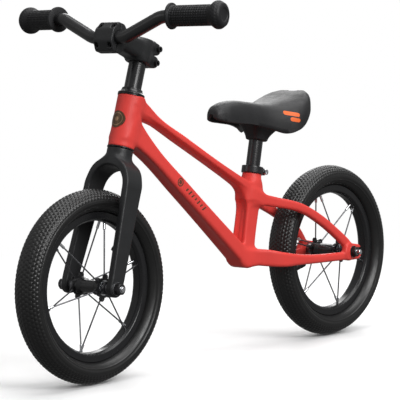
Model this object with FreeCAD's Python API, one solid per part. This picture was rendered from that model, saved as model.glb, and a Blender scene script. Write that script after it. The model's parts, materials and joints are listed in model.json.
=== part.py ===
import FreeCAD, Part
import math
import os

os.makedirs("parts", exist_ok=True)
Vec = FreeCAD.Vector

# Balance bike. Millimetres and degrees. +X points forwards, +Y to the rider's left, +Z up.
# The origin is on the ground, midway between the two axles.

# wheels
wheelbase = 556.5
tyre_radius = 140.0
tyre_width = 46.5
tyre_wall = 3.3
tread_depth = 4.5
bead_radius = 101.5              # where the tyre's bead sits on the rim
rim_width = 21.4
rim_wall = 1.8
rim_depth = 7.1                  # from the bead seat in to the rim's inner face
rim_lip = 6.0                    # height of the rim's edge above the bead seat
tube_clearance = 1.0             # between the inner tube and the tyre's crown
tube_seat_gap = 6.7              # between the inner tube and the bead seat
bead_gap = 0.3                   # between the tyre's bead and the rim
neck_rise = 2.5                  # inner end of the tyre's side wall above the rim's edge
neck_wall = 1.0                  # thickness of the tyre there, past the bead's outer face

# spokes and hubs
spoke_groups = 6                 # places on the rim, each with one spoke from either flange
front_spoke_turn = -15.0
rear_spoke_turn = 15.0
front_valve_turn = 135.0         # midway between two spoke groups
rear_valve_turn = -15.0
spoke_radius = 1.1
spoke_spread = 3.0               # rim end of a spoke from the middle of its group, along the rim
spoke_offset = 2.0               # rim end of a spoke from the wheel's middle plane
spoke_circle = 17.5
nipple_radius = 2.0
nipple_length = 11.0
flange_half = 24.0               # wheel's middle plane to the middle of a hub flange
flange_thickness = 2.4
flange_tip = 20.0
lobe_radius = 4.6
hub_waist_radius = 9.75
bearing_wall = 2.2               # hub material around a bearing
valve_radius = 3.9
valve_length = 27.0
cap_length = 8.0

# bearings
axle_radius = 4.75
hub_bearing_radius = 11.0
hub_bearing_width = 7.0
hub_ball_radius = 1.75
hub_ball_count = 10
ball_clearance = 0.08            # between the balls and the race that turns past them
slip_clearance = 0.05            # radial, for a tube that slides or turns in its clamp

# axles
front_drop_half = 39.75          # wheel's middle plane to the inner face of a fork tip
front_drop_thickness = 11.0
front_axle_end = 63.3
rear_drop_half = 43.0
rear_drop_thickness = 8.0
rear_axle_end = 67.4
axle_tip_radius = 4.0            # the turned-down end past the nut
axle_tip_gap = 0.25              # from the nut's face to the step
washer_radius = 9.6
washer_thickness = 1.6
nut_flats = 15.0
nut_height = 8.0
collar_radius = 9.5              # the lock ring that shows between the hub and the dropout
collar_width = 2.5
sleeve_radius = 6.6
axle_chamfer = 0.6
spacer_foot = 1.0                # how much wider the sleeve is beside the dropout
spot_face_gap = 0.6              # clear round the spacer's foot

# steering
head_angle = 71.9
fork_rake = 2.9
crown_gap = 36.0                 # clear height from the tyre to the underside of the crown
crown_height = 29.7              # from there to the foot of the head tube
head_length = 77.0
head_radius = 19.2
race_radius = 17.4
race_width = 8.0
race_lip = 1.5
race_lip_radius = 19.8
steer_gap = 0.5                  # between the head tube's rings and what turns beside them
head_ball_radius = 1.6
head_ball_count = 24
head_bore_clearance = 1.5
steerer_radius = 12.7
steerer_wall = 2.2
steerer_socket = 22.0            # length of steerer inside the crown
cover_height = 9.5
cover_top_radius = 14.6
badge_radius = 12.5
badge_thickness = 0.8

# fork blades
crown_radius = 19.0
crown_skirt = 16.0               # straight part under the head tube
shoulder_drop = 54.0             # below the head tube, where the blades become straight
shoulder_half = 43.5
blade_side_gap = 10.2            # tyre's side to the blade at the shoulder
shoulder_depth = 34.0            # fore and aft
tip_depth = 25.0
tip_below_axle = 18.0
ankle_rise = 14.0                # above the axle, where the blades turn upright

# stem and handlebar
stem_reach = 67.0                # steering axis to the handlebar, square to the axis
stem_rise = 145.8                # along the axis from the foot of the head tube
stem_clamp_radius = 18.5
stem_clamp_height = 35.0
stem_ear_reach = 31.5
stem_ear_half = 12.0
stem_slit = 2.4
stem_bolt_reach = 24.5
stem_bolt_pitch = 21.0
stem_bolt_radius = 2.5
stem_head_radius = 4.3
stem_head_height = 4.5
clamp_half = 19.5
clamp_height = 44.0
clamp_back = 16.0                # behind the bar's axis
clamp_flat = 18.0                # height of the faceplate's flat front
clamp_brow = 5.0                 # the top's flat, ahead of the bar's axis
faceplate_depth = 14.0
faceplate_gap = 1.0
face_bolt_half = 13.0            # across from the handlebar's middle
face_bolt_rise = 15.0            # up from the handlebar's middle
face_bolt_seat = 3.0             # under the bolt heads, ahead of the handlebar's middle
face_bolt_length = 18.0
clamp_chamfer = 1.5
bar_radius = 9.5
bar_wall = 1.7
bar_straight_half = 31.3
bar_bend_half = 96.4
bar_rise = 28.0
bar_bend_back = 6.3
bar_sweep = 11.1
bar_bend_radius = 40.0
grip_start = 14.6                # from the outer bend, along the bar
grip_length = 86.5
grip_radius = 15.0
grip_flange_radius = 18.75
grip_flange_width = 3.5
grip_bulb_radius = 20.0
grip_bulb_length = 20.0
grip_end_wall = 7.0

# frame casting
seat_angle = 77.5
junction_gap = 82.75             # tyre's front to the axis of the lower junction
junction_rise = 6.0              # of the junction above the axles
junction_radius = 12.5
junction_half = 17.0
seat_tube_length = 135.3
seat_tube_radius = 15.0
seat_neck_radius = 14.0
seat_neck_height = 10.2
seat_bore_depth = 141.0
top_tube_drop = 28.5             # below the top of the seat tube
top_tube_head = 65.0             # above the foot of the head tube
top_tube_width = 27.0
top_tube_height = 13.0
down_tube_head = 31.0
down_tube_width = 30.0
down_tube_height = 20.5
down_tube_foot_width = 34.0
gusset_half = 12.0
gusset_reach = 25.0
stay_gap = 9.75                  # tyre's side to the stays
stay_width = 12.0
seatstay_drop = 37.3
seatstay_angle = 33.0            # of the point where the stays have spread, seen from the rear axle
seatstay_clear = 12.6            # that point from the tyre's tread
tube_corner = 5.5
dropout_radius = 14.0
dropout_tail = 13.0
axle_slot_clearance = 0.2

# seat
post_radius = 11.1
post_wall = 2.0
post_clearance = 0.08
post_insert = 110.0
post_exposed = 65.0              # above the seat tube's neck, saddle socket included
seat_collar_radius = 17.0
seat_collar_lip = 2.0
seat_ear_reach = 27.0
seat_ear_half = 8.0
seat_bolt_reach = 21.5
seat_bolt_radius = 2.5
seat_slit = 2.2
socket_radius = 15.5
socket_start = 42.5              # above the seat tube's neck
saddle_skirt = 6.0
saddle_pocket = 14.0
base_thickness = 4.0
base_gap = 0.4                   # between the base and the cushion over it
screw_radius = 1.6
screw_head_radius = 3.6
screw_gap = 0.3                  # round a screw where it passes the base

half_base = wheelbase / 2
front_axle_at = Vec(half_base, 0, tyre_radius)
rear_axle_at = Vec(-half_base, 0, tyre_radius)
fork_length = tyre_radius + crown_gap + crown_height
steer_lean = math.radians(90 - head_angle)
steer_up = Vec(-math.sin(steer_lean), 0, math.cos(steer_lean))
steer_ahead = Vec(math.cos(steer_lean), 0, math.sin(steer_lean))
head_foot = front_axle_at + steer_up * fork_length - steer_ahead * fork_rake
steer_place = FreeCAD.Placement(head_foot, FreeCAD.Rotation(Vec(0, 1, 0), head_angle - 90))
seat_lean = math.radians(90 - seat_angle)
seat_up = Vec(-math.sin(seat_lean), 0, math.cos(seat_lean))
seat_ahead = Vec(math.cos(seat_lean), 0, math.sin(seat_lean))
junction_at = rear_axle_at + Vec(tyre_radius + junction_gap, 0, junction_rise)
seat_place = FreeCAD.Placement(junction_at, FreeCAD.Rotation(Vec(0, 1, 0), seat_angle - 90))
bar_at = head_foot + steer_ahead * stem_reach + steer_up * stem_rise
seat_neck_top = seat_tube_length + seat_neck_height


# ---- shared helpers ----

def unit(v):
    return v * (1.0 / v.Length)


def along_x(a, b):
    return Vec(0, a, b)


def along_y(a, b):
    return Vec(a, 0, b)


def along_z(a, b):
    return Vec(a, b, 0)


def region(plane, start, steps):
    # a flat face; a step of two points is an arc through the first to the second
    edges = []
    here = plane(*start)
    for step in list(steps) + [start]:
        is_arc = isinstance(step[0], tuple)
        end = plane(*step[1]) if is_arc else plane(*step)
        if (end - here).Length > 1e-6:
            if is_arc:
                edges.append(Part.Arc(here, plane(*step[0]), end).toShape())
            else:
                edges.append(Part.LineSegment(here, end).toShape())
        here = end
    return Part.Face(Part.Wire(edges))


def turned_y(start, steps):
    # a profile of (radius, y) turned about the Y axis
    return region(along_z, start, steps).revolve(Vec(0, 0, 0), Vec(0, 1, 0), 360)


def turned_z(start, steps):
    # a profile of (radius, z) turned about the Z axis
    return region(along_y, start, steps).revolve(Vec(0, 0, 0), Vec(0, 0, 1), 360)


def rod(radius, start, end):
    return Part.makeCylinder(radius, (end - start).Length, start, end - start)


def sleeve(inner, outer, start, end):
    return rod(outer, start, end).cut(rod(inner, start, end))


def block(low, high):
    return Part.makeBox(high.x - low.x, high.y - low.y, high.z - low.z, low)


def at_placement(shape, place):
    moved = shape.copy()
    moved.Placement = place.multiply(moved.Placement)
    return moved


def mirrored(shape):
    return shape.mirror(Vec(0, 0, 0), Vec(0, 1, 0))


def both_sides(shape):
    return [shape, mirrored(shape)]


def joined(shapes):
    whole = shapes[0].multiFuse(shapes[1:])
    return whole.removeSplitter()


def section(centre, side, up, width, height, corner):
    # a rounded rectangle as one wire
    corner = min(corner, 0.45 * min(width, height))
    ends = []
    for k, (sx, sy) in enumerate(((1, 1), (-1, 1), (-1, -1), (1, -1))):
        middle = centre + side * (sx * (width / 2 - corner)) + up * (sy * (height / 2 - corner))
        turn = [math.radians(90 * k + part) for part in (0, 45, 90)]
        ends.append([middle + side * (corner * math.cos(a)) + up * (corner * math.sin(a)) for a in turn])
    edges = []
    for k in range(4):
        edges.append(Part.Arc(*ends[k]).toShape())
        edges.append(Part.LineSegment(ends[k][2], ends[(k + 1) % 4][0]).toShape())
    return Part.Wire(edges)


def box_tube(stations, corner):
    # a solid through stations of (centre, width, height), each square to the path
    wires = []
    for k, (centre, width, height) in enumerate(stations):
        before = stations[max(k - 1, 0)][0]
        after = stations[min(k + 1, len(stations) - 1)][0]
        forward = unit(after - before)
        side = unit(Vec(0, 0, 1).cross(forward))
        wires.append(section(centre, side, unit(forward.cross(side)), width, height, corner))
    return Part.makeLoft(wires, True, True)


def rounded_path(points, radius):
    # straight runs joined by tangent arcs of one radius
    edges = []
    here = points[0]
    for before, corner, after in zip(points, points[1:], points[2:]):
        back = unit(before - corner)
        ahead = unit(after - corner)
        half = math.acos(back.dot(ahead)) / 2
        reach = radius / math.tan(half)
        middle = corner + unit(back + ahead) * (radius / math.sin(half) - radius)
        edges.append(Part.LineSegment(here, corner + back * reach).toShape())
        edges.append(Part.Arc(corner + back * reach, middle, corner + ahead * reach).toShape())
        here = corner + ahead * reach
    edges.append(Part.LineSegment(here, points[-1]).toShape())
    return Part.Wire(edges)


def pipe(path, radius, start, direction):
    return path.makePipeShell([Part.Wire(Part.makeCircle(radius, start, direction))], True, False)


def bearing(bore, outer, ball, width, count):
    # about the Z axis, its middle at the origin
    pitch = (bore + outer) / 2
    shoulder = 0.6 * ball
    low = Vec(0, 0, -width / 2)
    high = Vec(0, 0, width / 2)
    outer_race = sleeve(pitch + shoulder, outer, low, high).cut(Part.makeTorus(pitch, ball))
    inner_race = sleeve(bore, pitch - shoulder, low, high)
    inner_race = inner_race.cut(Part.makeTorus(pitch, ball + ball_clearance))
    balls = []
    for k in range(count):
        turn = 2 * math.pi * k / count
        balls.append(Part.makeSphere(ball, Vec(pitch * math.cos(turn), pitch * math.sin(turn), 0)))
    return outer_race, inner_race, balls


def hexagon(flats, low, height):
    # a hexagonal prism along Y from y = low
    corner = flats / math.sqrt(3)
    points = [Vec(corner * math.cos(math.pi * k / 3), low, corner * math.sin(math.pi * k / 3)) for k in range(7)]
    return Part.Face(Part.makePolygon(points)).extrude(Vec(0, height, 0))


def save(name, shapes):
    shapes = shapes if isinstance(shapes, list) else [shapes]
    solids = [solid for shape in shapes for solid in shape.Solids]
    whole = solids[0] if len(solids) == 1 else Part.makeCompound(solids)
    whole.exportStep("parts/" + name + ".step")
    valid = all(solid.isValid() for solid in solids)
    print(name, len(solids), round(sum(solid.Volume for solid in solids)), "" if valid else "NOT VALID")


# ---- wheels ----

rim_half = rim_width / 2
bead_half = rim_half - rim_wall
tyre_half = tyre_width / 2
rim_inner = bead_radius - rim_depth
rim_top = bead_radius + rim_lip
hub_end = flange_half + flange_thickness / 2


def make_tyre():
    # radius and y; the outside bulges over the rim and is rounded across the tread
    side = (rim_top + 0.42 * (tyre_radius - rim_top), tyre_half)
    edge = (tyre_radius - 5.3, 0.62 * tyre_half)
    inner_side = (side[0], tyre_half - tyre_wall)
    inner_edge = (edge[0] - tyre_wall, 0.52 * tyre_half)
    foot = bead_radius + bead_gap
    toe = (foot, bead_half - tyre_wall)
    heel = (foot, bead_half - bead_gap)
    lip = (rim_top + bead_gap, bead_half - bead_gap)
    shelf = (rim_top + bead_gap, rim_half)
    neck = (rim_top + neck_rise, bead_half - bead_gap - neck_wall)

    def low(p):
        return (p[0], -p[1])

    steps = [heel, lip, shelf, (side, edge), ((tyre_radius, 0), low(edge)), (low(side), low(shelf)),
             low(lip), low(heel), low(toe), low(neck), (low(inner_side), low(inner_edge)),
             ((tyre_radius - tread_depth, 0), inner_edge), (inner_side, neck)]
    return turned_y(toe, steps)


def make_inner_tube():
    low = bead_radius + tube_seat_gap
    high = tyre_radius - tread_depth - tube_clearance
    minor = min((high - low) / 2, tyre_half - tyre_wall - tube_clearance)
    major = high - minor
    ring = Part.makeTorus(major, minor).cut(Part.makeTorus(major, minor - 1.0))
    ring.rotate(Vec(0, 0, 0), Vec(1, 0, 0), 90)
    return ring


def spoke_lines(turn):
    # the two ends of each spoke: its elbow inside the flange, and its place at the rim
    lines = []
    elbow_y = flange_half - flange_thickness / 2 - spoke_radius - 0.1
    for k in range(spoke_groups):
        angle = math.radians(turn + 360.0 * k / spoke_groups)
        outwards = Vec(math.cos(angle), 0, math.sin(angle))
        across = Vec(-math.sin(angle), 0, math.cos(angle))
        for side in (1, -1):
            inner = outwards * spoke_circle + Vec(0, side * elbow_y, 0)
            rim_end = outwards * rim_inner + across * (side * spoke_spread) + Vec(0, side * spoke_offset, 0)
            lines.append((inner, rim_end, side))
    return lines


def make_spokes(turn):
    spokes = []
    for inner, rim_end, side in spoke_lines(turn):
        outside = Vec(inner.x, side * (hub_end + 0.9), inner.z)
        tip = rim_end - unit(rim_end - inner) * 1.0
        head = rod(1.8, Vec(inner.x, side * hub_end, inner.z), outside)
        spokes.append(joined([rod(spoke_radius, inner, tip), Part.makeSphere(spoke_radius, inner),
                              rod(spoke_radius, inner, outside), head]))
    return spokes


def make_nipples(turn):
    nipples = []
    for inner, rim_end, side in spoke_lines(turn):
        way = unit(rim_end - inner)
        start = rim_end - way * nipple_length
        seat = rim_end + way * (rim_wall + 0.6)
        body = joined([rod(nipple_radius, start, seat), rod(nipple_radius + 0.9, seat, seat + way * 1.8)])
        nipples.append(body.cut(rod(spoke_radius + 0.02, start, rim_end - way)))
    return nipples


def make_rim(turn, valve_turn):
    low = rim_inner
    floor = low + rim_wall
    steps = [(low, 0.55 * rim_half), (low + 3.4, rim_half), (rim_top, rim_half), (rim_top, bead_half),
             (bead_radius - 0.1, bead_half), (bead_radius - 0.1, 0.52 * rim_half), (floor, 0.4 * rim_half),
             (floor, -0.4 * rim_half), (bead_radius - 0.1, -0.52 * rim_half), (bead_radius - 0.1, -bead_half),
             (rim_top, -bead_half), (rim_top, -rim_half), (low + 3.4, -rim_half)]
    rim = turned_y((low, -0.55 * rim_half), steps)
    for inner, rim_end, side in spoke_lines(turn):
        way = unit(rim_end - inner)
        rim = rim.cut(rod(nipple_radius + 0.15, rim_end - way * 4, rim_end + way * 5))
    way = Vec(math.cos(math.radians(valve_turn)), 0, math.sin(math.radians(valve_turn)))
    return rim.cut(rod(valve_radius + 0.2, way * (low - 4), way * (low + 6)))


def make_valve(valve_turn):
    way = Vec(math.cos(math.radians(valve_turn)), 0, math.sin(math.radians(valve_turn)))
    outer_end = bead_radius + 0.5
    shoulder = outer_end - valve_length
    nib = shoulder - cap_length + 2.5
    stem = joined([rod(valve_radius, way * shoulder, way * outer_end),
                   rod(0.7 * valve_radius, way * nib, way * shoulder)])
    cap = rod(valve_radius + 0.5, way * (shoulder - cap_length), way * shoulder)
    cap = cap.cut(rod(0.7 * valve_radius + slip_clearance, way * nib, way * shoulder))
    return stem, cap


def make_hub_shell(turn):
    seat_start = hub_end - hub_bearing_width
    end_radius = hub_bearing_radius + bearing_wall
    waist = hub_waist_radius
    steps = [(end_radius, -hub_end), (end_radius, -seat_start), (waist, -seat_start + 5), (waist, seat_start - 5),
             (end_radius, seat_start), (end_radius, hub_end), (hub_bearing_radius, hub_end),
             (hub_bearing_radius, seat_start), (axle_radius + 1.6, seat_start), (axle_radius + 1.6, -seat_start),
             (hub_bearing_radius, -seat_start)]
    shell = turned_y((hub_bearing_radius, -hub_end), steps)
    flanges = []
    for side in (1, -1):
        low = Vec(0, side * flange_half - flange_thickness / 2, 0)
        lobes = []
        for k in range(spoke_groups):
            angle = math.radians(turn + 360.0 * k / spoke_groups)
            outwards = Vec(math.cos(angle), 0, math.sin(angle))
            root = low + outwards * (flange_tip - lobe_radius)
            lobes.append(rod(lobe_radius, root, root + Vec(0, flange_thickness, 0)))
        plate = joined([rod(end_radius + 1.5, low, low + Vec(0, flange_thickness, 0))] + lobes)
        plate = plate.cut(rod(end_radius - 0.4, low, low + Vec(0, flange_thickness, 0)))
        flanges.append(plate)
    shell = joined([shell] + flanges)
    for inner, rim_end, side in spoke_lines(turn):
        shell = shell.cut(rod(spoke_radius + 0.1, Vec(inner.x, side * (hub_end + 1), inner.z), inner))
    return shell


def make_hub_bearings():
    outer, inner, balls = bearing(axle_radius, hub_bearing_radius, hub_ball_radius, hub_bearing_width,
                                  hub_ball_count)
    outers = []
    inners = []
    all_balls = []
    for side in (1, -1):
        middle = Vec(0, side * (hub_end - hub_bearing_width / 2), 0)
        place = FreeCAD.Placement(middle, FreeCAD.Rotation(Vec(1, 0, 0), 90))
        outers.append(at_placement(outer, place))
        inners.append(at_placement(inner, place))
        all_balls += [at_placement(ball, place) for ball in balls]
    return outers, inners, all_balls


def make_axle_pieces(drop_half, drop_thickness, axle_end):
    # axle, sleeves between hub and dropouts, washers and nuts, about the Y axis
    step = drop_half + drop_thickness + washer_thickness + nut_height + axle_tip_gap
    tips = rod(axle_tip_radius, Vec(0, -axle_end, 0), Vec(0, axle_end, 0))
    tips = tips.makeChamfer(axle_chamfer, [edge for edge in tips.Edges if isinstance(edge.Curve, Part.Circle)])
    axle = joined([rod(axle_radius, Vec(0, -step, 0), Vec(0, step, 0)), tips])
    ring_start = hub_end + 5.3
    ring_end = ring_start + collar_width
    steps = [(sleeve_radius, hub_end), (sleeve_radius, ring_start), (collar_radius, ring_start),
             (collar_radius, ring_end), (sleeve_radius + spacer_foot, ring_end),
             (sleeve_radius + spacer_foot, drop_half),
             (axle_radius, drop_half)]
    spacer = turned_y((axle_radius, hub_end), steps)
    washer_start = drop_half + drop_thickness
    nut_start = washer_start + washer_thickness
    washer = sleeve(axle_radius, washer_radius, Vec(0, washer_start, 0), Vec(0, nut_start, 0))
    nut = joined([hexagon(nut_flats, nut_start, nut_height),
                  rod(washer_radius - 0.4, Vec(0, nut_start, 0), Vec(0, nut_start + 1.6, 0))])
    dome = Part.makeSphere(nut_flats * 0.72, Vec(0, nut_start, 0))
    nut = nut.common(dome).cut(rod(axle_radius, Vec(0, nut_start, 0), Vec(0, axle_end, 0)))
    return axle, both_sides(spacer), both_sides(washer), both_sides(nut)


def make_wheel(name, centre, spoke_turn, valve_turn, drop_half, drop_thickness, axle_end):
    place = FreeCAD.Placement(centre, FreeCAD.Rotation())
    outers, inners, balls = make_hub_bearings()
    stem, cap = make_valve(valve_turn)
    axle, spacers, washers, nuts = make_axle_pieces(drop_half, drop_thickness, axle_end)
    pieces = {"tyre": make_tyre(), "inner_tube": make_inner_tube(), "rim": make_rim(spoke_turn, valve_turn),
              "spokes": make_spokes(spoke_turn), "spoke_nipples": make_nipples(spoke_turn),
              "hub_shell": make_hub_shell(spoke_turn), "bearing_outer_races": outers,
              "bearing_inner_races": inners, "bearing_balls": balls, "valve_stem": stem, "valve_cap": cap,
              "axle": axle, "axle_spacers": spacers, "axle_washers": washers, "axle_nuts": nuts}
    for piece, shapes in pieces.items():
        shapes = shapes if isinstance(shapes, list) else [shapes]
        save(name + "_" + piece, [at_placement(shape, place) for shape in shapes])


# ---- frame ----

def head_point(height):
    return head_foot + steer_up * height


def seat_point(height):
    return junction_at + seat_up * height


def tube_between(start, end, ends_at_start, ends_at_end):
    # stations given as (distance, width, height) from either end, plain in between
    way = unit(end - start)
    stations = [(start + way * d, w, h) for d, w, h in ends_at_start]
    stations += [(end - way * d, w, h) for d, w, h in reversed(ends_at_end)]
    return box_tube(stations, tube_corner)


def make_top_tube():
    width = top_tube_width
    height = top_tube_height
    near_head = [(0, width + 5, height + 13), (25, width + 3, height + 10), (52, width, height + 1)]
    near_seat = [(0, width, height + 7), (24, width, height + 4), (58, width, height)]
    return tube_between(head_point(top_tube_head), seat_point(seat_tube_length - top_tube_drop),
                        near_head, near_seat)


def make_down_tube():
    width = down_tube_width
    height = down_tube_height
    foot = down_tube_foot_width
    near_head = [(0, width + 2, height + 22), (26, width + 1, height + 11), (54, width, height)]
    near_junction = [(0, foot, height + 3), (45, foot, height + 2)]
    return tube_between(head_point(down_tube_head), junction_at, near_head, near_junction)


def make_gusset():
    top_way = unit(seat_point(seat_tube_length - top_tube_drop) - head_point(top_tube_head))
    down_way = unit(junction_at - head_point(down_tube_head))
    upper = head_point(top_tube_head) + top_way * gusset_reach
    lower = head_point(down_tube_head) + down_way * (gusset_reach * 1.65)
    corners = [head_point(down_tube_head - 12), head_point(top_tube_head), upper, lower]
    points = [Vec(p.x, -gusset_half, p.z) for p in corners + corners[:1]]
    return Part.Face(Part.makePolygon(points)).extrude(Vec(0, 2 * gusset_half, 0))


def make_chainstay():
    # left stay: out of the junction, spread round the tyre, and back to the dropout
    inner = tyre_half + stay_gap
    middle = inner + stay_width / 2
    tip = rear_drop_half + rear_drop_thickness / 2
    j = junction_at
    r = rear_axle_at
    stations = [(j + Vec(8, 6, 4), 16, 22), (j + Vec(-26, 17, 3), 19, 25), (j + Vec(-56, middle - 2, -2.5), 15, 20),
                (j + Vec(-90, middle, -6.5), stay_width, 15.5), (r + Vec(38, middle + 2.5, -6), stay_width - 1, 13.5),
                (r + Vec(8, tip, -6), rear_drop_thickness, 14)]
    return box_tube(stations, tube_corner)


def make_seatstay():
    # left stay: from the side of the seat tube, over the tyre's shoulder, down to the dropout
    inner = tyre_half + stay_gap
    middle = inner + stay_width / 2
    tip = rear_drop_half + rear_drop_thickness / 2
    angle = math.radians(seatstay_angle)
    reach = tyre_radius + seatstay_clear
    root = seat_point(seat_tube_length - seatstay_drop)
    spread = rear_axle_at + Vec(reach * math.cos(angle), 0, reach * math.sin(angle))
    behind = rear_axle_at + Vec(0.557 * tyre_radius, 0, 0.436 * tyre_radius)
    stations = [(root + Vec(0, 7, 0), 14, 17), ((root + spread) * 0.5 + Vec(0, 20, 0), 13, 15.5),
                (spread + Vec(0, middle - 3, 0), stay_width, 14), (behind + Vec(0, middle, 0), stay_width, 15),
                (rear_axle_at + Vec(27, middle + 2, 28.5), stay_width - 1, 15),
                (rear_axle_at + Vec(2, tip, 8), rear_drop_thickness, 15)]
    return box_tube(stations, tube_corner)


def make_dropout():
    low = rear_drop_half
    high = low + rear_drop_thickness
    front = rear_axle_at + Vec(4, 0, 0)
    tail = rear_axle_at + Vec(-dropout_tail, 0, -1.5)
    tail_radius = dropout_radius - 1.5
    plate = region(along_y, (front.x, front.z - dropout_radius),
                   [((front.x + dropout_radius, front.z), (front.x, front.z + dropout_radius)),
                    (tail.x, tail.z + tail_radius),
                    ((tail.x - tail_radius, tail.z), (tail.x, tail.z - tail_radius))])
    plate = plate.extrude(Vec(0, high - low, 0))
    plate.translate(Vec(0, low, 0))
    return plate


def make_frame():
    stays = [both_sides(make()) for make in (make_chainstay, make_seatstay, make_dropout)]
    junction = rod(junction_radius, junction_at - Vec(0, junction_half, 0), junction_at + Vec(0, junction_half, 0))
    seat_tube = rod(seat_tube_radius, seat_point(-6), seat_point(seat_tube_length))
    neck = rod(seat_neck_radius, seat_point(seat_tube_length - 1), seat_point(seat_neck_top))
    head_tube = rod(head_radius, head_point(0), head_point(head_length))
    solid = joined([head_tube, make_top_tube(), make_down_tube(), make_gusset(), seat_tube, neck, junction]
                   + [stay for pair in stays for stay in pair])
    # bores for the seat post and the headset
    solid = solid.cut(rod(post_radius + post_clearance, seat_point(seat_neck_top - seat_bore_depth),
                          seat_point(seat_neck_top + 1)))
    solid = solid.cut(rod(steerer_radius + head_bore_clearance, head_point(-1), head_point(head_length + 1)))
    for low, high in ((-1, race_width), (head_length - race_width, head_length + 1)):
        solid = solid.cut(rod(race_radius, head_point(low), head_point(high)))
    # the slit under the seat clamp, open to the back
    slit = block(Vec(-seat_tube_radius - 2, -seat_slit / 2, seat_tube_length - 14),
                 Vec(0, seat_slit / 2, seat_neck_top + 1))
    solid = solid.cut(at_placement(slit, seat_place))
    # axle slots, open to the back
    slot_half = axle_radius + axle_slot_clearance
    outer = rear_drop_half + rear_drop_thickness + 1
    slot = rod(slot_half, rear_axle_at - Vec(0, outer, 0), rear_axle_at + Vec(0, outer, 0))
    mouth = block(rear_axle_at + Vec(-dropout_tail - dropout_radius - 5, -outer, -slot_half),
                  rear_axle_at + Vec(0, outer, slot_half))
    spots = []
    for side in (1, -1):
        face = rear_axle_at + Vec(0, side * rear_drop_half, 0)
        spots.append(rod(sleeve_radius + spacer_foot + spot_face_gap, face, face - Vec(0, side * 14, 0)))
    return solid.cut(joined([slot, mouth])).cut(Part.makeCompound(spots))


def make_badge():
    # a round plate bent to the front of the head tube
    shell = sleeve(head_radius, head_radius + badge_thickness, Vec(0, 0, 0), Vec(0, 0, head_length))
    middle = Vec(0, 0, head_length / 2)
    return at_placement(shell.common(rod(badge_radius, middle, middle + Vec(head_radius * 2, 0, 0))), steer_place)


# ---- steering ----

def make_headset():
    outer, inner, balls = bearing(steerer_radius, race_radius, head_ball_radius, race_width, head_ball_count)
    pieces = {}
    for name, middle, lip in (("lower", race_width / 2, -1), ("upper", head_length - race_width / 2, 1)):
        place = FreeCAD.Placement(Vec(0, 0, middle), FreeCAD.Rotation())
        face = middle + lip * race_width / 2
        ends = sorted((face, face + lip * race_lip))
        ring = sleeve(race_radius - 1.4, race_lip_radius, Vec(0, 0, ends[0]), Vec(0, 0, ends[1]))
        pieces["headset_" + name + "_outer_race"] = joined([at_placement(outer, place), ring])
        pieces["headset_" + name + "_inner_race"] = at_placement(inner, place)
        pieces["headset_" + name + "_balls"] = [at_placement(ball, place) for ball in balls]
    for name, shapes in pieces.items():
        shapes = shapes if isinstance(shapes, list) else [shapes]
        save(name, [at_placement(shape, steer_place) for shape in shapes])


def make_top_cover():
    low = head_length + race_lip + steer_gap
    high = low + cover_height
    steps = [(race_lip_radius, low), (race_lip_radius, low + 1.6), (cover_top_radius + 1.2, low + 5.5),
             (cover_top_radius, high), (steerer_radius, high)]
    return turned_z((steerer_radius, low), steps)


def make_fork():
    top = -race_lip - steer_gap
    inner_arch = -crown_height
    inner_half = tyre_half + blade_side_gap
    foot = -fork_length - tip_below_axle
    tip_inner = front_drop_half
    tip_outer = front_drop_half + front_drop_thickness
    skirt = top - crown_skirt
    shoulder = -shoulder_drop
    brow = 0.5 * (skirt + shoulder) + 4.5
    armpit = shoulder - 8
    ankle = -fork_length + ankle_rise
    # front view: crown, two shoulders and two blades
    front_view = region(along_x, (-crown_radius, top), [
        (crown_radius, top), (crown_radius, skirt), ((shoulder_half - 8.0, brow), (shoulder_half, shoulder)),
        (tip_outer, ankle), (tip_outer, foot), (tip_inner, foot), (tip_inner, ankle), (inner_half, armpit),
        ((0, inner_arch), (-inner_half, armpit)), (-tip_inner, ankle), (-tip_inner, foot), (-tip_outer, foot),
        (-tip_outer, ankle), (-shoulder_half, shoulder), ((-shoulder_half + 8.0, brow), (-crown_radius, skirt))])
    solid = front_view.extrude(Vec(4 * crown_radius, 0, 0))
    solid.translate(Vec(-2 * crown_radius, 0, 0))
    # side view: deep shoulders that narrow to round tips
    tip_radius = tip_depth / 2
    tip_middle = foot + tip_radius
    half = shoulder_depth / 2
    side_view = region(along_y, (-crown_radius, top), [
        (crown_radius, top), (crown_radius, skirt), (half, shoulder), (fork_rake + tip_radius, tip_middle),
        ((fork_rake, foot), (fork_rake - tip_radius, tip_middle)), (-half, shoulder), (-crown_radius, skirt)])
    profile = side_view.extrude(Vec(0, 4 * tip_outer, 0))
    profile.translate(Vec(0, -2 * tip_outer, 0))
    solid = solid.common(profile)
    # the crown is round in plan under the head tube
    round_top = rod(crown_radius, Vec(0, 0, skirt), Vec(0, 0, top))
    lower = solid.common(block(Vec(-100, -100, foot - 1), Vec(100, 100, skirt)))
    solid = joined([lower, round_top])
    solid = solid.cut(rod(steerer_radius, Vec(0, 0, -steerer_socket), Vec(0, 0, top + 1)))
    slot_half = axle_radius + axle_slot_clearance
    axle = Vec(fork_rake, 0, -fork_length)
    slot = rod(slot_half, axle - Vec(0, 100, 0), axle + Vec(0, 100, 0))
    mouth = block(axle + Vec(-slot_half, -100, -tip_below_axle - 5), axle + Vec(slot_half, 100, 0))
    return at_placement(solid.cut(joined([slot, mouth])), steer_place)


def make_steerer():
    top = stem_rise + stem_clamp_height / 2 - 2
    tube = sleeve(steerer_radius - steerer_wall, steerer_radius, Vec(0, 0, -steerer_socket), Vec(0, 0, top))
    cap = joined([rod(steerer_radius - 0.1, Vec(0, 0, top), Vec(0, 0, top + 1.8)),
                  rod(steerer_radius - steerer_wall, Vec(0, 0, top - 8), Vec(0, 0, top))])
    return at_placement(tube, steer_place), at_placement(cap, steer_place)


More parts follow.
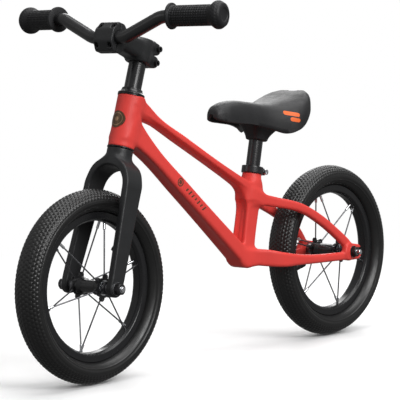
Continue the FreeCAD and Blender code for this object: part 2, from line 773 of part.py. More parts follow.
def clamp_blank(back, front):
    # the part between two upright planes of the eight-sided barrel round the handlebar
    tall = clamp_height / 2
    flat = clamp_flat / 2
    heel = 0.64 * tall
    steps = [(faceplate_depth, flat), (clamp_brow, tall), (-clamp_brow - 3, tall), (-clamp_back, heel),
             (-clamp_back, -heel), (-clamp_brow - 3, -tall), (clamp_brow, -tall)]
    barrel = region(along_y, (faceplate_depth, -flat), steps).extrude(Vec(0, 2 * clamp_half, 0))
    barrel.translate(Vec(stem_reach, -clamp_half, stem_rise))
    edges = [edge for edge in barrel.Edges if abs(edge.BoundBox.YMax - edge.BoundBox.YMin) < 0.01]
    barrel = barrel.makeChamfer(clamp_chamfer, edges)
    keep = block(Vec(back, -clamp_half - 1, stem_rise - tall - 1), Vec(front, clamp_half + 1, stem_rise + tall + 1))
    return barrel.common(keep)


def face_bolt_places():
    return [(y, stem_rise + z) for y in (-face_bolt_half, face_bolt_half)
            for z in (-face_bolt_rise, face_bolt_rise)]


def stem_bolt_heights():
    return [stem_rise - stem_bolt_pitch / 2, stem_rise + stem_bolt_pitch / 2]


def make_stem():
    low = stem_rise - stem_clamp_height / 2
    high = stem_rise + stem_clamp_height / 2
    ring = rod(stem_clamp_radius, Vec(0, 0, low), Vec(0, 0, high))
    side = Vec(0, 1, 0)
    up = Vec(0, 0, 1)
    wires = []
    for x, width, height in ((4, 2 * stem_clamp_radius - 2, stem_clamp_height - 4), (stem_reach - 20, 32, 27),
                             (stem_reach - 12, 34, 28)):
        wires.append(section(Vec(x, 0, stem_rise), side, up, width, height, 9))
    arm = Part.makeLoft(wires, True, True)
    ears = block(Vec(-stem_ear_reach, -stem_ear_half, low + 1.5), Vec(-4, stem_ear_half, high - 1.5))
    ears = ears.makeFillet(4.0, [edge for edge in ears.Edges if edge.BoundBox.XMax < -stem_ear_reach + 1])
    front = stem_reach - faceplate_gap / 2
    body = joined([ring, arm, ears, clamp_blank(stem_reach - clamp_back - 1, front)])
    body = body.cut(rod(steerer_radius + slip_clearance, Vec(0, 0, low - 5), Vec(0, 0, high + 5)))
    body = body.cut(block(Vec(-stem_ear_reach - 1, -stem_slit / 2, low - 1), Vec(0, stem_slit / 2, high + 1)))
    bar_hole = rod(bar_radius + slip_clearance, Vec(stem_reach, -40, stem_rise), Vec(stem_reach, 40, stem_rise))
    body = body.cut(bar_hole)
    for z in stem_bolt_heights():
        body = body.cut(rod(stem_bolt_radius, Vec(-stem_bolt_reach, -30, z), Vec(-stem_bolt_reach, 30, z)))
    for y, z in face_bolt_places():
        body = body.cut(rod(stem_bolt_radius, Vec(stem_reach - 20, y, z), Vec(stem_reach + 5, y, z)))
    plate = clamp_blank(stem_reach + faceplate_gap / 2, stem_reach + faceplate_depth + 1).cut(bar_hole)
    for y, z in face_bolt_places():
        plate = plate.cut(rod(stem_bolt_radius, Vec(stem_reach - 5, y, z), Vec(stem_reach + 30, y, z)))
        head_seat = stem_reach + face_bolt_seat
        plate = plate.cut(rod(stem_head_radius + 0.3, Vec(head_seat, y, z), Vec(stem_reach + 30, y, z)))
    return at_placement(body, steer_place), at_placement(plate, steer_place)


def cap_screw(start, way, length, radius, head_radius, head_height):
    # the shank runs from the head's underside at start along way; the head has a hex socket
    shank = rod(radius, start, start + way * length)
    head = rod(head_radius, start - way * head_height, start)
    socket = rod(0.5 * head_radius, start - way * head_height, start - way * 1.5)
    return joined([shank, head]).cut(socket)


def make_stem_bolts():
    head_seat = stem_reach + face_bolt_seat
    face_bolts = [cap_screw(Vec(head_seat, y, z), Vec(-1, 0, 0), face_bolt_length, stem_bolt_radius,
                            stem_head_radius, stem_head_height) for y, z in face_bolt_places()]
    clamp_bolts = [cap_screw(Vec(-stem_bolt_reach, stem_ear_half, z), Vec(0, -1, 0), 2 * stem_ear_half,
                             stem_bolt_radius, stem_head_radius, stem_head_height) for z in stem_bolt_heights()]
    return ([at_placement(bolt, steer_place) for bolt in face_bolts],
            [at_placement(bolt, steer_place) for bolt in clamp_bolts])


def bar_points():
    # left half of the handlebar's centre line: middle, inner bend, outer bend, direction of the grip
    sweep = math.radians(bar_sweep)
    inner = bar_at + Vec(0, bar_straight_half, 0)
    outer = bar_at + Vec(-bar_bend_back, bar_bend_half, bar_rise)
    return inner, outer, Vec(-math.sin(sweep), math.cos(sweep), 0)


def make_handlebar():
    inner, outer, way = bar_points()
    end = outer + way * (grip_start + grip_length - grip_end_wall)
    left = [inner, outer, end]
    right = [Vec(p.x, -p.y, p.z) for p in reversed(left)]
    path = rounded_path(right + left, bar_bend_radius)
    start_way = right[1] - right[0]
    tube = pipe(path, bar_radius, right[0], start_way)
    return tube.cut(pipe(path, bar_radius - bar_wall, right[0], start_way))


def make_grip():
    inner, outer, way = bar_points()
    bulb_start = grip_length - grip_bulb_length
    shoulder = bulb_start + 0.35 * grip_bulb_length
    crown = bulb_start + 0.55 * grip_bulb_length
    bar_end = grip_length - grip_end_wall
    steps = [(grip_flange_radius, 0), (grip_flange_radius, grip_flange_width),
             (grip_radius, grip_flange_width + 1.5), (grip_radius, bulb_start),
             ((grip_bulb_radius - 1.2, shoulder - 1.5), (grip_bulb_radius, crown)),
             ((grip_bulb_radius - 3.5, grip_length - 2.2), (grip_bulb_radius - 9, grip_length)),
             (0, grip_length), (0, bar_end), (bar_radius, bar_end)]
    grip = turned_z((bar_radius, 0), steps)
    turn = FreeCAD.Rotation(Vec(0, 0, 1), way)
    return at_placement(grip, FreeCAD.Placement(outer + way * grip_start, turn))


# ---- seat ----

def make_seat_collar():
    low = seat_tube_length + 0.3
    high = seat_neck_top + seat_collar_lip
    ring = rod(seat_collar_radius, Vec(0, 0, low), Vec(0, 0, high))
    ears = block(Vec(-seat_ear_reach, -seat_ear_half, low + 0.8), Vec(-8, seat_ear_half, high - 0.8))
    ears = ears.makeFillet(3.0, [edge for edge in ears.Edges if edge.BoundBox.XMax < -seat_ear_reach + 1])
    collar = joined([ring, ears])
    collar = collar.cut(rod(seat_neck_radius + 0.05, Vec(0, 0, low - 1), Vec(0, 0, seat_neck_top + 0.1)))
    collar = collar.cut(rod(post_radius + 0.4, Vec(0, 0, low), Vec(0, 0, high + 1)))
    collar = collar.cut(block(Vec(-seat_ear_reach - 1, -seat_slit / 2, low - 1), Vec(0, seat_slit / 2, high + 1)))
    middle = (low + high) / 2
    hole = rod(seat_bolt_radius, Vec(-seat_bolt_reach, -30, middle), Vec(-seat_bolt_reach, 30, middle))
    bolt = cap_screw(Vec(-seat_bolt_reach, seat_ear_half, middle), Vec(0, -1, 0), 2 * seat_ear_half + 5.5,
                     seat_bolt_radius, 4.2, 4.0)
    nut = hexagon(8.0, -seat_ear_half - 4.0, 4.0)
    nut.translate(Vec(-seat_bolt_reach, 0, middle))
    nut = nut.cut(hole)
    return [at_placement(shape, seat_place) for shape in (collar.cut(hole), bolt, nut)]


def make_seat_post():
    low = seat_neck_top - post_insert
    high = seat_neck_top + post_exposed
    return at_placement(sleeve(post_radius - post_wall, post_radius, Vec(0, 0, low), Vec(0, 0, high)), seat_place)


# the saddle hangs on the top of the post: (forwards of the post's top, half width, top, bottom)
saddle_stations = [(108, 9, 29, 17), (98, 18, 38, 13), (70, 23, 44, 9), (34, 29, 40, 4), (8, 37, 37, -3),
                   (-16, 49, 38, -10), (-38, 59, 43, -4), (-58, 56, 49.5, 13), (-76, 46, 55, 30),
                   (-87, 33, 55.5, 42)]


def saddle_loft(first, last, shrink, low_of, high_of):
    top = seat_point(seat_neck_top + post_exposed)
    side = Vec(0, 1, 0)
    up = Vec(0, 0, 1)
    wires = []
    for x, half, high, low in saddle_stations[first:last]:
        bottom = low_of(low, high)
        height = high_of(low, high) - bottom
        centre = Vec(top.x + x, 0, top.z + bottom + height / 2)
        wires.append(section(centre, side, up, 2 * (half - shrink), height, 8.0))
    return Part.makeLoft(wires, True, True)


def screw_places():
    top = seat_point(seat_neck_top + post_exposed)
    places = []
    for k in (3, 5):
        x, half, high, low = saddle_stations[k]
        for side in (1, -1):
            places.append(Vec(top.x + x, side * 0.45 * half, top.z + low + saddle_pocket - base_thickness))
    return places


def make_saddle():
    cushion = saddle_loft(0, 10, 0, lambda low, high: low, lambda low, high: high)
    pocket = saddle_loft(2, 7, saddle_skirt, lambda low, high: low - 12, lambda low, high: low + saddle_pocket)
    plate = saddle_loft(2, 7, saddle_skirt + 0.4, lambda low, high: low + saddle_pocket - base_thickness,
                        lambda low, high: low + saddle_pocket)
    cushion = cushion.cut(pocket)
    low = seat_neck_top + socket_start
    high = seat_neck_top + post_exposed
    side = Vec(0, 1, 0)
    ahead = seat_place.Rotation.multVec(Vec(1, 0, 0))
    floor = [section(seat_point(low), side, ahead, 2 * socket_radius, 2 * socket_radius, 14),
             section(seat_point(low + 8), side, ahead, 2 * socket_radius + 2, 2 * socket_radius + 10, 14),
             section(seat_point(high - 1), side, ahead, 44, 62, 14),
             section(seat_point(high + saddle_pocket), side, ahead, 42, 58, 14)]
    neck = Part.makeLoft(floor, True, True)
    neck = neck.cut(pocket_roof(high))
    base = joined([plate, neck])
    base = base.cut(rod(post_radius, seat_point(low - 5), seat_point(high)))
    lowered = cushion.copy()
    lowered.translate(Vec(0, 0, -base_gap))
    base = base.cut(cushion).cut(lowered)
    screws = []
    for place in screw_places():
        screw = cap_screw(place, Vec(0, 0, 1), base_thickness + 8, screw_radius, screw_head_radius, 2.2)
        screws.append(screw)
        hole = rod(screw_radius, place - Vec(0, 0, 1), place + Vec(0, 0, base_thickness + 8))
        cushion = cushion.cut(hole)
        well = rod(screw_head_radius + screw_gap, place - Vec(0, 0, 25), place)
        wide_hole = rod(screw_radius + screw_gap, place - Vec(0, 0, 1), place + Vec(0, 0, base_thickness + 8))
        base = base.cut(well).cut(wide_hole)
    return cushion, base, screws


def pocket_roof(high):
    # everything above the underside of the cushion's pocket, so that the base stays below it
    whole = saddle_loft(1, 9, -30, lambda low, high: low + saddle_pocket, lambda low, high: low + 80)
    return whole


# ---- all the pieces ----

make_wheel("front", front_axle_at, front_spoke_turn, front_valve_turn,
           front_drop_half, front_drop_thickness, front_axle_end)
make_wheel("rear", rear_axle_at, rear_spoke_turn, rear_valve_turn,
           rear_drop_half, rear_drop_thickness, rear_axle_end)
save("frame", make_frame())
save("head_badge", make_badge())
make_headset()
save("headset_top_cover", at_placement(make_top_cover(), steer_place))
save("fork", make_fork())
steerer, steerer_cap = make_steerer()
save("steerer_tube", steerer)
save("steerer_cap", steerer_cap)
stem_body, stem_faceplate = make_stem()
save("stem_body", stem_body)
save("stem_faceplate", stem_faceplate)
faceplate_bolts, steerer_clamp_bolts = make_stem_bolts()
save("faceplate_bolts", faceplate_bolts)
save("steerer_clamp_bolts", steerer_clamp_bolts)
save("handlebar_tube", make_handlebar())
left_grip = make_grip()
save("grip_left", left_grip)
save("grip_right", mirrored(left_grip))
seat_collar, seat_bolt, seat_nut = make_seat_collar()
save("seat_clamp_collar", seat_collar)
save("seat_clamp_bolt", seat_bolt)
save("seat_clamp_nut", seat_nut)
save("seat_post", make_seat_post())
cushion, base, screws = make_saddle()
save("saddle_cushion", cushion)
save("saddle_base", base)
save("saddle_screws", screws)
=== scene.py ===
import json
import math
import bpy
import numpy as np
from mathutils import Matrix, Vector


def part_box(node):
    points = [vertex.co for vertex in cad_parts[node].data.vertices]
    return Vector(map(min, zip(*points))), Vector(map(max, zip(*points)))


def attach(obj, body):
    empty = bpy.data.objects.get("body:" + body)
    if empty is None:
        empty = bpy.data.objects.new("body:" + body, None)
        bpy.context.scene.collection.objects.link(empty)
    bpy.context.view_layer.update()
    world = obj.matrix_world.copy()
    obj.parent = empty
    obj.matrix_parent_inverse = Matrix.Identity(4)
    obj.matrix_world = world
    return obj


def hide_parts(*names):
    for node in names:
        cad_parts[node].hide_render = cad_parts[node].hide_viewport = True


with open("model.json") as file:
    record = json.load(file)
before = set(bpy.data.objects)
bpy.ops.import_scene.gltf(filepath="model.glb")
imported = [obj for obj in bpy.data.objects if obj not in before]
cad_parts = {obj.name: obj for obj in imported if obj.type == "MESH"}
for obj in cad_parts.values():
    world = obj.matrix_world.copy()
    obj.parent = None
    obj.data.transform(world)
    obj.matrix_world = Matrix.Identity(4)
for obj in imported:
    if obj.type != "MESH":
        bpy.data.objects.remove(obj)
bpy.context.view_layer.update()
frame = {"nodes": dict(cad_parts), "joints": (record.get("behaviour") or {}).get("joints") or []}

# Balance bike, the looks. Lengths are in millimetres until a mesh is made.
# +X points ahead, +Y to the rider's left, +Z up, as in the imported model.


def vec(*numbers):
    return np.array(numbers, float)


def unitOf(v):
    return np.asarray(v, float) / np.linalg.norm(v)


def middleOf(nodeName):
    low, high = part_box(nodeName)
    return (np.array(low) + np.array(high)) * 500.0


joints = {joint["name"]: joint for joint in frame["joints"]}
sideways = vec(0, 1, 0)
steerUp = unitOf(joints["steering"]["axis"])
steerAhead = vec(steerUp[2], 0, -steerUp[0])
headFoot = vec(*joints["steering"]["pos_m"]) * 1000
barAt = vec(*joints["handlebar_tilt"]["pos_m"]) * 1000
seatUp = unitOf(joints["seat_height"]["axis"])
seatAhead = vec(seatUp[2], 0, -seatUp[0])
frontAxle = middleOf("front_axle")
rearAxle = middleOf("rear_axle")
postMiddle = middleOf("seat_post")
junctionRise = 6.0               # of the lower junction above the axles
junction = postMiddle + seatUp * (rearAxle[2] + junctionRise - postMiddle[2]) / seatUp[2]


def headPoint(height):
    return headFoot + steerUp * height


def seatPoint(height):
    return junction + seatUp * height


view = {
    "place": (2.1584, 1.8583, 0.4832), "yaw": -2.4216, "dip": 0.0839, "roll": -0.0182, "lens": 167.5,
}


def makeCamera():
    yaw, dip, roll = view["yaw"], view["dip"], view["roll"]
    ahead = vec(math.cos(yaw) * math.cos(dip), math.sin(yaw) * math.cos(dip), -math.sin(dip))
    right = unitOf(np.cross(ahead, (0, 0, 1)))
    up = np.cross(right, ahead)
    turnedRight = math.cos(roll) * right + math.sin(roll) * up
    turnedUp = -math.sin(roll) * right + math.cos(roll) * up
    data = bpy.data.cameras.new("camera")
    data.lens = view["lens"]
    data.sensor_width = 36
    data.clip_end = 100
    camera = bpy.data.objects.new("camera", data)
    bpy.context.scene.collection.objects.link(camera)
    matrix = np.eye(4)
    matrix[:3, 0], matrix[:3, 1], matrix[:3, 2], matrix[:3, 3] = turnedRight, turnedUp, -ahead, view["place"]
    camera.matrix_world = Matrix(matrix.tolist())
    bpy.context.scene.camera = camera


lights = {                        # place and aim in metres, size in metres, strength in watts
    "keyLight": {"place": (0.6, 2.6, 1.9), "aim": (0, 0, 0.3), "size": 1.6, "strength": 74},
    "topLight": {"place": (-0.4, 0.3, 2.6), "aim": (0, 0, 0.2), "size": 2.2, "strength": 48},
    "frontLight": {"place": (2.6, -1.4, 1.5), "aim": (0.1, 0, 0.3), "size": 1.2, "strength": 3},
    "backLight": {"place": (-1.8, -1.4, 1.4), "aim": (0, 0, 0.3), "size": 1.4, "strength": 20},
}
surround = {"seen": 1.0, "low": 0.15, "high": 0.40, "floor": 0.90}


def makeLights():
    for name, setting in lights.items():
        data = bpy.data.lights.new(name, "AREA")
        data.energy = setting["strength"]
        data.shape = "SQUARE"
        data.size = setting["size"]
        lamp = bpy.data.objects.new(name, data)
        bpy.context.scene.collection.objects.link(lamp)
        back = unitOf(np.array(setting["place"]) - np.array(setting["aim"]))
        across = unitOf(np.cross((0, 0, 1), back))
        matrix = np.eye(4)
        matrix[:3, 0], matrix[:3, 1], matrix[:3, 2] = across, np.cross(back, across), back
        matrix[:3, 3] = setting["place"]
        lamp.matrix_world = Matrix(matrix.tolist())


def node(tree, kind, inputs=None, **settings):
    made = tree.nodes.new("ShaderNode" + kind)
    for key, value in settings.items():
        setattr(made, key, value)
    for key, value in (inputs or {}).items():
        if isinstance(value, bpy.types.NodeSocket):
            tree.links.new(value, made.inputs[key])
        else:
            made.inputs[key].default_value = value
    return made


def makeSurround():
    world = bpy.data.worlds.new("studio")
    bpy.context.scene.world = world
    world.use_nodes = True
    tree = world.node_tree
    tree.nodes.clear()
    place = node(tree, "TexCoord")
    parts = node(tree, "SeparateXYZ", {0: place.outputs["Generated"]})
    # brightness rises with height, and the backdrop itself is seen white
    level = node(tree, "MapRange", {"Value": parts.outputs["Z"], "From Min": -1.0, "From Max": 1.0,
                                    "To Min": surround["low"], "To Max": surround["high"]})
    path = node(tree, "LightPath")
    seen = node(tree, "Mix", {0: path.outputs["Is Camera Ray"], 2: level.outputs[0], 3: surround["seen"]},
                data_type="FLOAT")
    sky = node(tree, "Background", {"Color": (1, 1, 1, 1), "Strength": seen.outputs[0]})
    out = node(tree, "OutputWorld")
    tree.links.new(sky.outputs[0], out.inputs[0])


def makeFloor(material):
    size = 30.0
    mesh = bpy.data.meshes.new("floor")
    corners = [(-size, -size, -0.0005), (size, -size, -0.0005), (size, size, -0.0005), (-size, size, -0.0005)]
    mesh.from_pydata(corners, [], [(0, 1, 2, 3)])
    mesh.materials.append(material)
    # far from the object the floor glows as white as the backdrop, so no horizon shows
    tree = material.node_tree
    shader = tree.nodes["Principled BSDF"]
    place = node(tree, "TexCoord").outputs["Object"]
    far = node(tree, "VectorMath", {0: place}, operation="LENGTH").outputs["Value"]
    share = node(tree, "MapRange", {"Value": far, "From Min": 0.55, "From Max": 1.5}).outputs[0]
    glow = node(tree, "Emission", {"Strength": surround["seen"]})
    mixed = node(tree, "MixShader", {0: share, 1: shader.outputs[0], 2: glow.outputs[0]})
    tree.links.new(mixed.outputs[0], tree.nodes["Material Output"].inputs[0])
    floor = bpy.data.objects.new("floor", mesh)
    bpy.context.scene.collection.objects.link(floor)
    floor.visible_diffuse = False
    floor.visible_glossy = False


def finish(name, dark, light, patch=60, rough=(0.35, 0.5), metallic=0.0, grain=900, bump=0.02, coat=0.0,
           specular=0.5):
    # two shades mixed by soft patches, roughness varied by a finer noise, and a fine bumpy grain
    material = bpy.data.materials.new(name)
    material.use_nodes = True
    tree = material.node_tree
    shader = tree.nodes["Principled BSDF"]
    place = node(tree, "TexCoord").outputs["Object"]
    patches = node(tree, "TexNoise", {"Vector": place, "Scale": patch, "Detail": 4.0, "Roughness": 0.6})
    shade = node(tree, "Mix", {0: patches.outputs["Fac"], 6: (*dark, 1), 7: (*light, 1)}, data_type="RGBA")
    fine = node(tree, "TexNoise", {"Vector": place, "Scale": grain, "Detail": 3.0, "Roughness": 0.6})
    smear = node(tree, "TexNoise", {"Vector": place, "Scale": patch * 2.7, "Detail": 5.0, "Roughness": 0.65})
    roughness = node(tree, "MapRange", {"Value": smear.outputs["Fac"], "From Min": 0.3, "From Max": 0.7,
                                        "To Min": rough[0], "To Max": rough[1]})
    relief = node(tree, "Bump", {"Height": fine.outputs["Fac"], "Strength": bump, "Distance": 0.001})
    tree.links.new(shade.outputs[2], shader.inputs["Base Color"])
    tree.links.new(roughness.outputs[0], shader.inputs["Roughness"])
    tree.links.new(relief.outputs[0], shader.inputs["Normal"])
    shader.inputs["Metallic"].default_value = metallic
    shader.inputs["Specular IOR Level"].default_value = specular
    if coat:
        shader.inputs["Coat Weight"].default_value = coat
        shader.inputs["Coat Roughness"].default_value = 0.08
    return material


def calculate(tree, operation, first, second=None):
    inputs = {0: first} if second is None else {0: first, 1: second}
    return node(tree, "Math", inputs, operation=operation).outputs[0]


def localAxes(tree, origin, along, across):
    # distances along and across from an origin, both in millimetres, from the object coordinates
    place = node(tree, "TexCoord").outputs["Object"]
    offset = node(tree, "VectorMath", {0: place, 1: tuple(np.asarray(origin) / 1000)}, operation="SUBTRACT")
    result = []
    for way in (along, across):
        dot = node(tree, "VectorMath", {0: offset.outputs[0], 1: tuple(np.asarray(way, float) * 1000)},
                   operation="DOT_PRODUCT")
        result.append(dot.outputs["Value"])
    sideHeight = node(tree, "SeparateXYZ", {0: place}).outputs["Y"]
    return result[0], result[1], calculate(tree, "ABSOLUTE", sideHeight)


def farFrom(tree, along, across):
    squares = [calculate(tree, "POWER", way, 2.0) for way in (along, across)]
    return calculate(tree, "SQRT", calculate(tree, "ADD", *squares))


def within(tree, value, low, high):
    above = calculate(tree, "GREATER_THAN", value, low)
    below = calculate(tree, "LESS_THAN", value, high)
    return calculate(tree, "MULTIPLY", above, below)


def printOn(material, mask, colour, roughness):
    # the print covers the finish under it wherever the mask is 1
    tree = material.node_tree
    shader = tree.nodes["Principled BSDF"]
    for socketName, wanted in (("Base Color", (*colour, 1)), ("Roughness", roughness)):
        under = shader.inputs[socketName].links[0].from_socket
        kind = "RGBA" if socketName == "Base Color" else "FLOAT"
        first, second, out = (6, 7, 2) if kind == "RGBA" else (2, 3, 0)
        cover = node(tree, "Mix", {0: mask, first: under, second: wanted}, data_type=kind)
        tree.links.new(cover.outputs[out], shader.inputs[socketName])


redPaint = finish("redPaint", (0.70, 0.050, 0.042), (0.78, 0.066, 0.054), patch=25, rough=(0.38, 0.50),
                  grain=2200, bump=0.05, specular=0.3)
darkCast = finish("darkCast", (0.012, 0.0125, 0.013), (0.019, 0.0195, 0.021), patch=30, rough=(0.34, 0.48),
                  grain=2600, bump=0.10, specular=0.35)
glossBlack = finish("glossBlack", (0.008, 0.008, 0.009), (0.014, 0.014, 0.015), patch=40, rough=(0.24, 0.34),
                    grain=1200, bump=0.01, coat=0.2)
rimBlack = finish("rimBlack", (0.008, 0.008, 0.009), (0.014, 0.014, 0.015), patch=50, rough=(0.18, 0.30),
                  grain=1600, bump=0.03, specular=0.4)
tyreRubber = finish("tyreRubber", (0.006, 0.006, 0.006), (0.011, 0.011, 0.011), patch=45, rough=(0.28, 0.42),
                    grain=1500, bump=0.08, specular=0.50)
gripRubber = finish("gripRubber", (0.006, 0.006, 0.007), (0.012, 0.012, 0.013), patch=60, rough=(0.46, 0.60),
                    grain=1800, bump=0.10, specular=0.32)
saddleSkin = finish("saddleSkin", (0.011, 0.011, 0.012), (0.018, 0.018, 0.019), patch=35, rough=(0.42, 0.56),
                    grain=1700, bump=0.16, specular=0.35)
blackPlastic = finish("blackPlastic", (0.007, 0.007, 0.008), (0.013, 0.013, 0.014), patch=50,
                      rough=(0.40, 0.55), grain=1500, bump=0.06, specular=0.35)
brightSteel = finish("brightSteel", (0.55, 0.56, 0.58), (0.74, 0.75, 0.77), patch=120, rough=(0.18, 0.34),
                     grain=2500, bump=0.04, metallic=1.0)
darkSteel = finish("darkSteel", (0.10, 0.10, 0.11), (0.20, 0.20, 0.21), patch=120, rough=(0.28, 0.42),
                   grain=2500, bump=0.04, metallic=0.9)
blackSteel = finish("blackSteel", (0.016, 0.016, 0.017), (0.030, 0.030, 0.032), patch=90, rough=(0.24, 0.38),
                    grain=2000, bump=0.04, metallic=0.5)
bronze = finish("bronze", (0.10, 0.060, 0.035), (0.17, 0.105, 0.062), patch=120, rough=(0.30, 0.44),
                grain=2200, bump=0.05, metallic=0.8)
paleFloor = finish("paleFloor", (surround["floor"],) * 3, (surround["floor"] + 0.02,) * 3, patch=2,
                   rough=(0.7, 0.8), grain=60, bump=0.0, specular=0.1)


def softened(profile, reach, closed=True, steps=3):
    # each corner of the profile becomes a quadratic curve from just before it to just after it,
    # with one more point beyond each end of the curve to keep the flats flat
    points = np.asarray(profile, float)
    before = np.roll(points, 1, 0) - points
    after = np.roll(points, -1, 0) - points
    lengthBefore = np.linalg.norm(before, axis=1, keepdims=True)
    lengthAfter = np.linalg.norm(after, axis=1, keepdims=True)
    wanted = np.broadcast_to(np.asarray(reach, float).reshape(-1, 1), (len(points), 1))
    cut = np.minimum(wanted, 0.32 * np.minimum(lengthBefore, lengthAfter))
    start = points + before / lengthBefore * cut
    end = points + after / lengthAfter * cut
    t = np.linspace(0, 1, steps + 1)[None, :, None]
    curve = (1 - t) ** 2 * start[:, None] + 2 * t * (1 - t) * points[:, None] + t ** 2 * end[:, None]
    outerStart = points + before / lengthBefore * cut * 1.45
    outerEnd = points + after / lengthAfter * cut * 1.45
    rows = np.concatenate([outerStart[:, None], curve, outerEnd[:, None]], 1)
    if closed:
        return rows.reshape(-1, 2)
    return np.vstack([points[:1], rows[1:-1].reshape(-1, 2), points[-1:]])


def gridShell(points, closed=True):
    # quads between neighbouring rows of a grid whose columns go round; open ends get a fan to their middle
    rows, columns = points.shape[:2]
    ids = np.arange(rows * columns).reshape(rows, columns)
    loop = np.vstack([ids, ids[:1]]) if closed else ids
    near, far = loop[:-1], loop[1:]
    quads = np.stack([near, np.roll(near, -1, 1), np.roll(far, -1, 1), far], -1).reshape(-1, 4)
    flat = points.reshape(-1, 3)
    triangles = np.zeros((0, 3), int)
    if not closed:
        flat = np.vstack([flat, points[0].mean(0), points[-1].mean(0)])
        around = np.roll(ids, -1, 1)
        hub = np.full(columns, rows * columns)
        triangles = np.vstack([np.stack([around[0], ids[0], hub], -1),
                               np.stack([ids[-1], around[-1], hub + 1], -1)])
    return flat, quads, triangles


def turned(profile, origin, axis, around=96, closed=True, relief=None):
    # each (radius, height) goes once round the axis; relief(angle) is added to the radius
    profile = np.asarray(profile, float)
    axis = unitOf(axis)
    first = unitOf(np.cross(axis, (0, 0, 1)))
    second = np.cross(first, axis)
    angle = np.linspace(0, 2 * math.pi, around, endpoint=False)
    ring = np.cos(angle)[:, None] * first + np.sin(angle)[:, None] * second
    radius = np.repeat(profile[:, :1], around, 1)
    if relief is not None:
        radius = radius + relief(angle)
    points = np.asarray(origin) + axis * profile[:, 1][:, None, None] + radius[:, :, None] * ring[None]
    return gridShell(points, closed)


def mirrored(shell):
    points, quads, triangles = shell[:3]
    return points * vec(1, -1, 1), quads, triangles


def volumeOf(points, quads, triangles):
    pieces = np.vstack([quads[:, [0, 1, 2]], quads[:, [0, 2, 3]], triangles])
    a, b, c = (points[pieces[:, k]] for k in range(3))
    return np.einsum("ij,ij->i", a, np.cross(b, c)).sum() / 6


def makePiece(name, shells, material, body, replaced=(), sharp=38, hollow=()):
    # shells face outwards, and the hollows in them face inwards
    allPoints, allQuads, allTriangles = [], [], []
    start = 0
    for k, (points, quads, triangles) in enumerate(list(shells) + list(hollow)):
        wanted = 1 if k < len(shells) else -1
        if volumeOf(points, quads, triangles) * wanted < 0:
            quads, triangles = quads[:, ::-1], triangles[:, ::-1]
        allPoints.append(points)
        allQuads.append(quads + start)
        allTriangles.append(triangles + start)
        start += len(points)
    points = np.vstack(allPoints) / 1000
    quads, triangles = np.vstack(allQuads), np.vstack(allTriangles)
    corners = np.concatenate([quads.ravel(), triangles.ravel()]).astype(np.int32)
    sizes = np.concatenate([np.full(len(quads), 4), np.full(len(triangles), 3)])
    starts = np.concatenate([[0], np.cumsum(sizes)[:-1]]).astype(np.int32)
    mesh = bpy.data.meshes.new(name)
    mesh.vertices.add(len(points))
    mesh.vertices.foreach_set("co", points.astype(np.float32).ravel())
    mesh.loops.add(len(corners))
    mesh.loops.foreach_set("vertex_index", corners)
    mesh.polygons.add(len(sizes))
    mesh.polygons.foreach_set("loop_start", starts)
    mesh.polygons.foreach_set("use_smooth", np.ones(len(sizes), bool))
    mesh.update(calc_edges=True)
    mesh.validate()
    mesh.set_sharp_from_angle(angle=math.radians(sharp))
    mesh.materials.append(material)
    piece = bpy.data.objects.new(name, mesh)
    bpy.context.scene.collection.objects.link(piece)
    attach(piece, body)
    if replaced:
        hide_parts(*replaced)
    print("made", name, len(quads) * 2 + len(triangles), "triangles")
    return piece


def softMin(a, b, reach):
    # the smaller of two distances, rounded where they are within reach of each other
    h = np.maximum(reach - np.abs(a - b), 0) / reach
    return np.minimum(a, b) - h * h * reach * 0.25


def softMax(a, b, reach):
    return -softMin(-a, -b, reach)


def rise(value, low, high):
    # 0 below low, 1 above high, and a smooth step between
    t = np.clip((value - low) / (high - low), 0, 1)
    return t * t * (3 - 2 * t)


def curve(at, places, values):
    # a smooth line through stations: a cubic between each two, its slopes taken from their neighbours
    places = np.asarray(places, float)
    values = np.asarray(values, float)
    slopes = np.gradient(values, places)
    k = np.clip(np.searchsorted(places, at) - 1, 0, len(places) - 2)
    gap = places[k + 1] - places[k]
    t = np.clip((at - places[k]) / gap, 0, 1)
    first = (1 + 2 * t) * (1 - t) ** 2 * values[k] + t * (1 - t) ** 2 * gap * slopes[k]
    return first + t * t * (3 - 2 * t) * values[k + 1] + t * t * (t - 1) * gap * slopes[k + 1]


def localOf(x, z, origin, way):
    # distance along a line in the side view, and square to it with the upper or front side positive
    s = (x - origin[0]) * way[0] + (z - origin[2]) * way[2]
    v = (x - origin[0]) * way[2] - (z - origin[2]) * way[0]
    return s, v


def cylinder(x, y, z, origin, axis, radius, low, high, edge=1.5):
    # round the axis between two heights, with its rims rounded
    rx, ry, rz = x - origin[0], y - origin[1], z - origin[2]
    height = rx * axis[0] + ry * axis[1] + rz * axis[2]
    far = np.sqrt(np.maximum(rx * rx + ry * ry + rz * rz - height * height, 0))
    return softMax(far - radius, np.abs(height - (low + high) / 2) - (high - low) / 2, edge)


def sampled(parts, low, high, cell):
    axes = [np.arange(low[k], high[k] + cell, cell) for k in range(3)]
    values = np.full([len(axis) for axis in axes], 40.0, np.float32)
    for part in parts:
        margin = 3 * cell + part.get("reach", 1.0)
        where = []
        for k in range(3):
            ends = np.searchsorted(axes[k], (part["low"][k] - margin, part["high"][k] + margin))
            where.append(slice(ends[0], ends[1]))
        x = axes[0][where[0]][:, None, None]
        y = axes[1][where[1]][None, :, None]
        z = axes[2][where[2]][None, None, :]
        there = tuple(where)
        values[there] = combined(values[there], part["shape"](x, y, z), part)
    return values, axes


def combined(values, shape, part):
    reach = part.get("reach", 1.0)
    if part.get("cut"):
        return softMax(values, -shape, reach)
    return softMin(values, shape, reach)


def distanceAt(parts, points):
    x, y, z = points.T
    values = np.full(len(points), 40.0)
    for part in parts:
        values = combined(values, part["shape"](x, y, z), part)
    return values


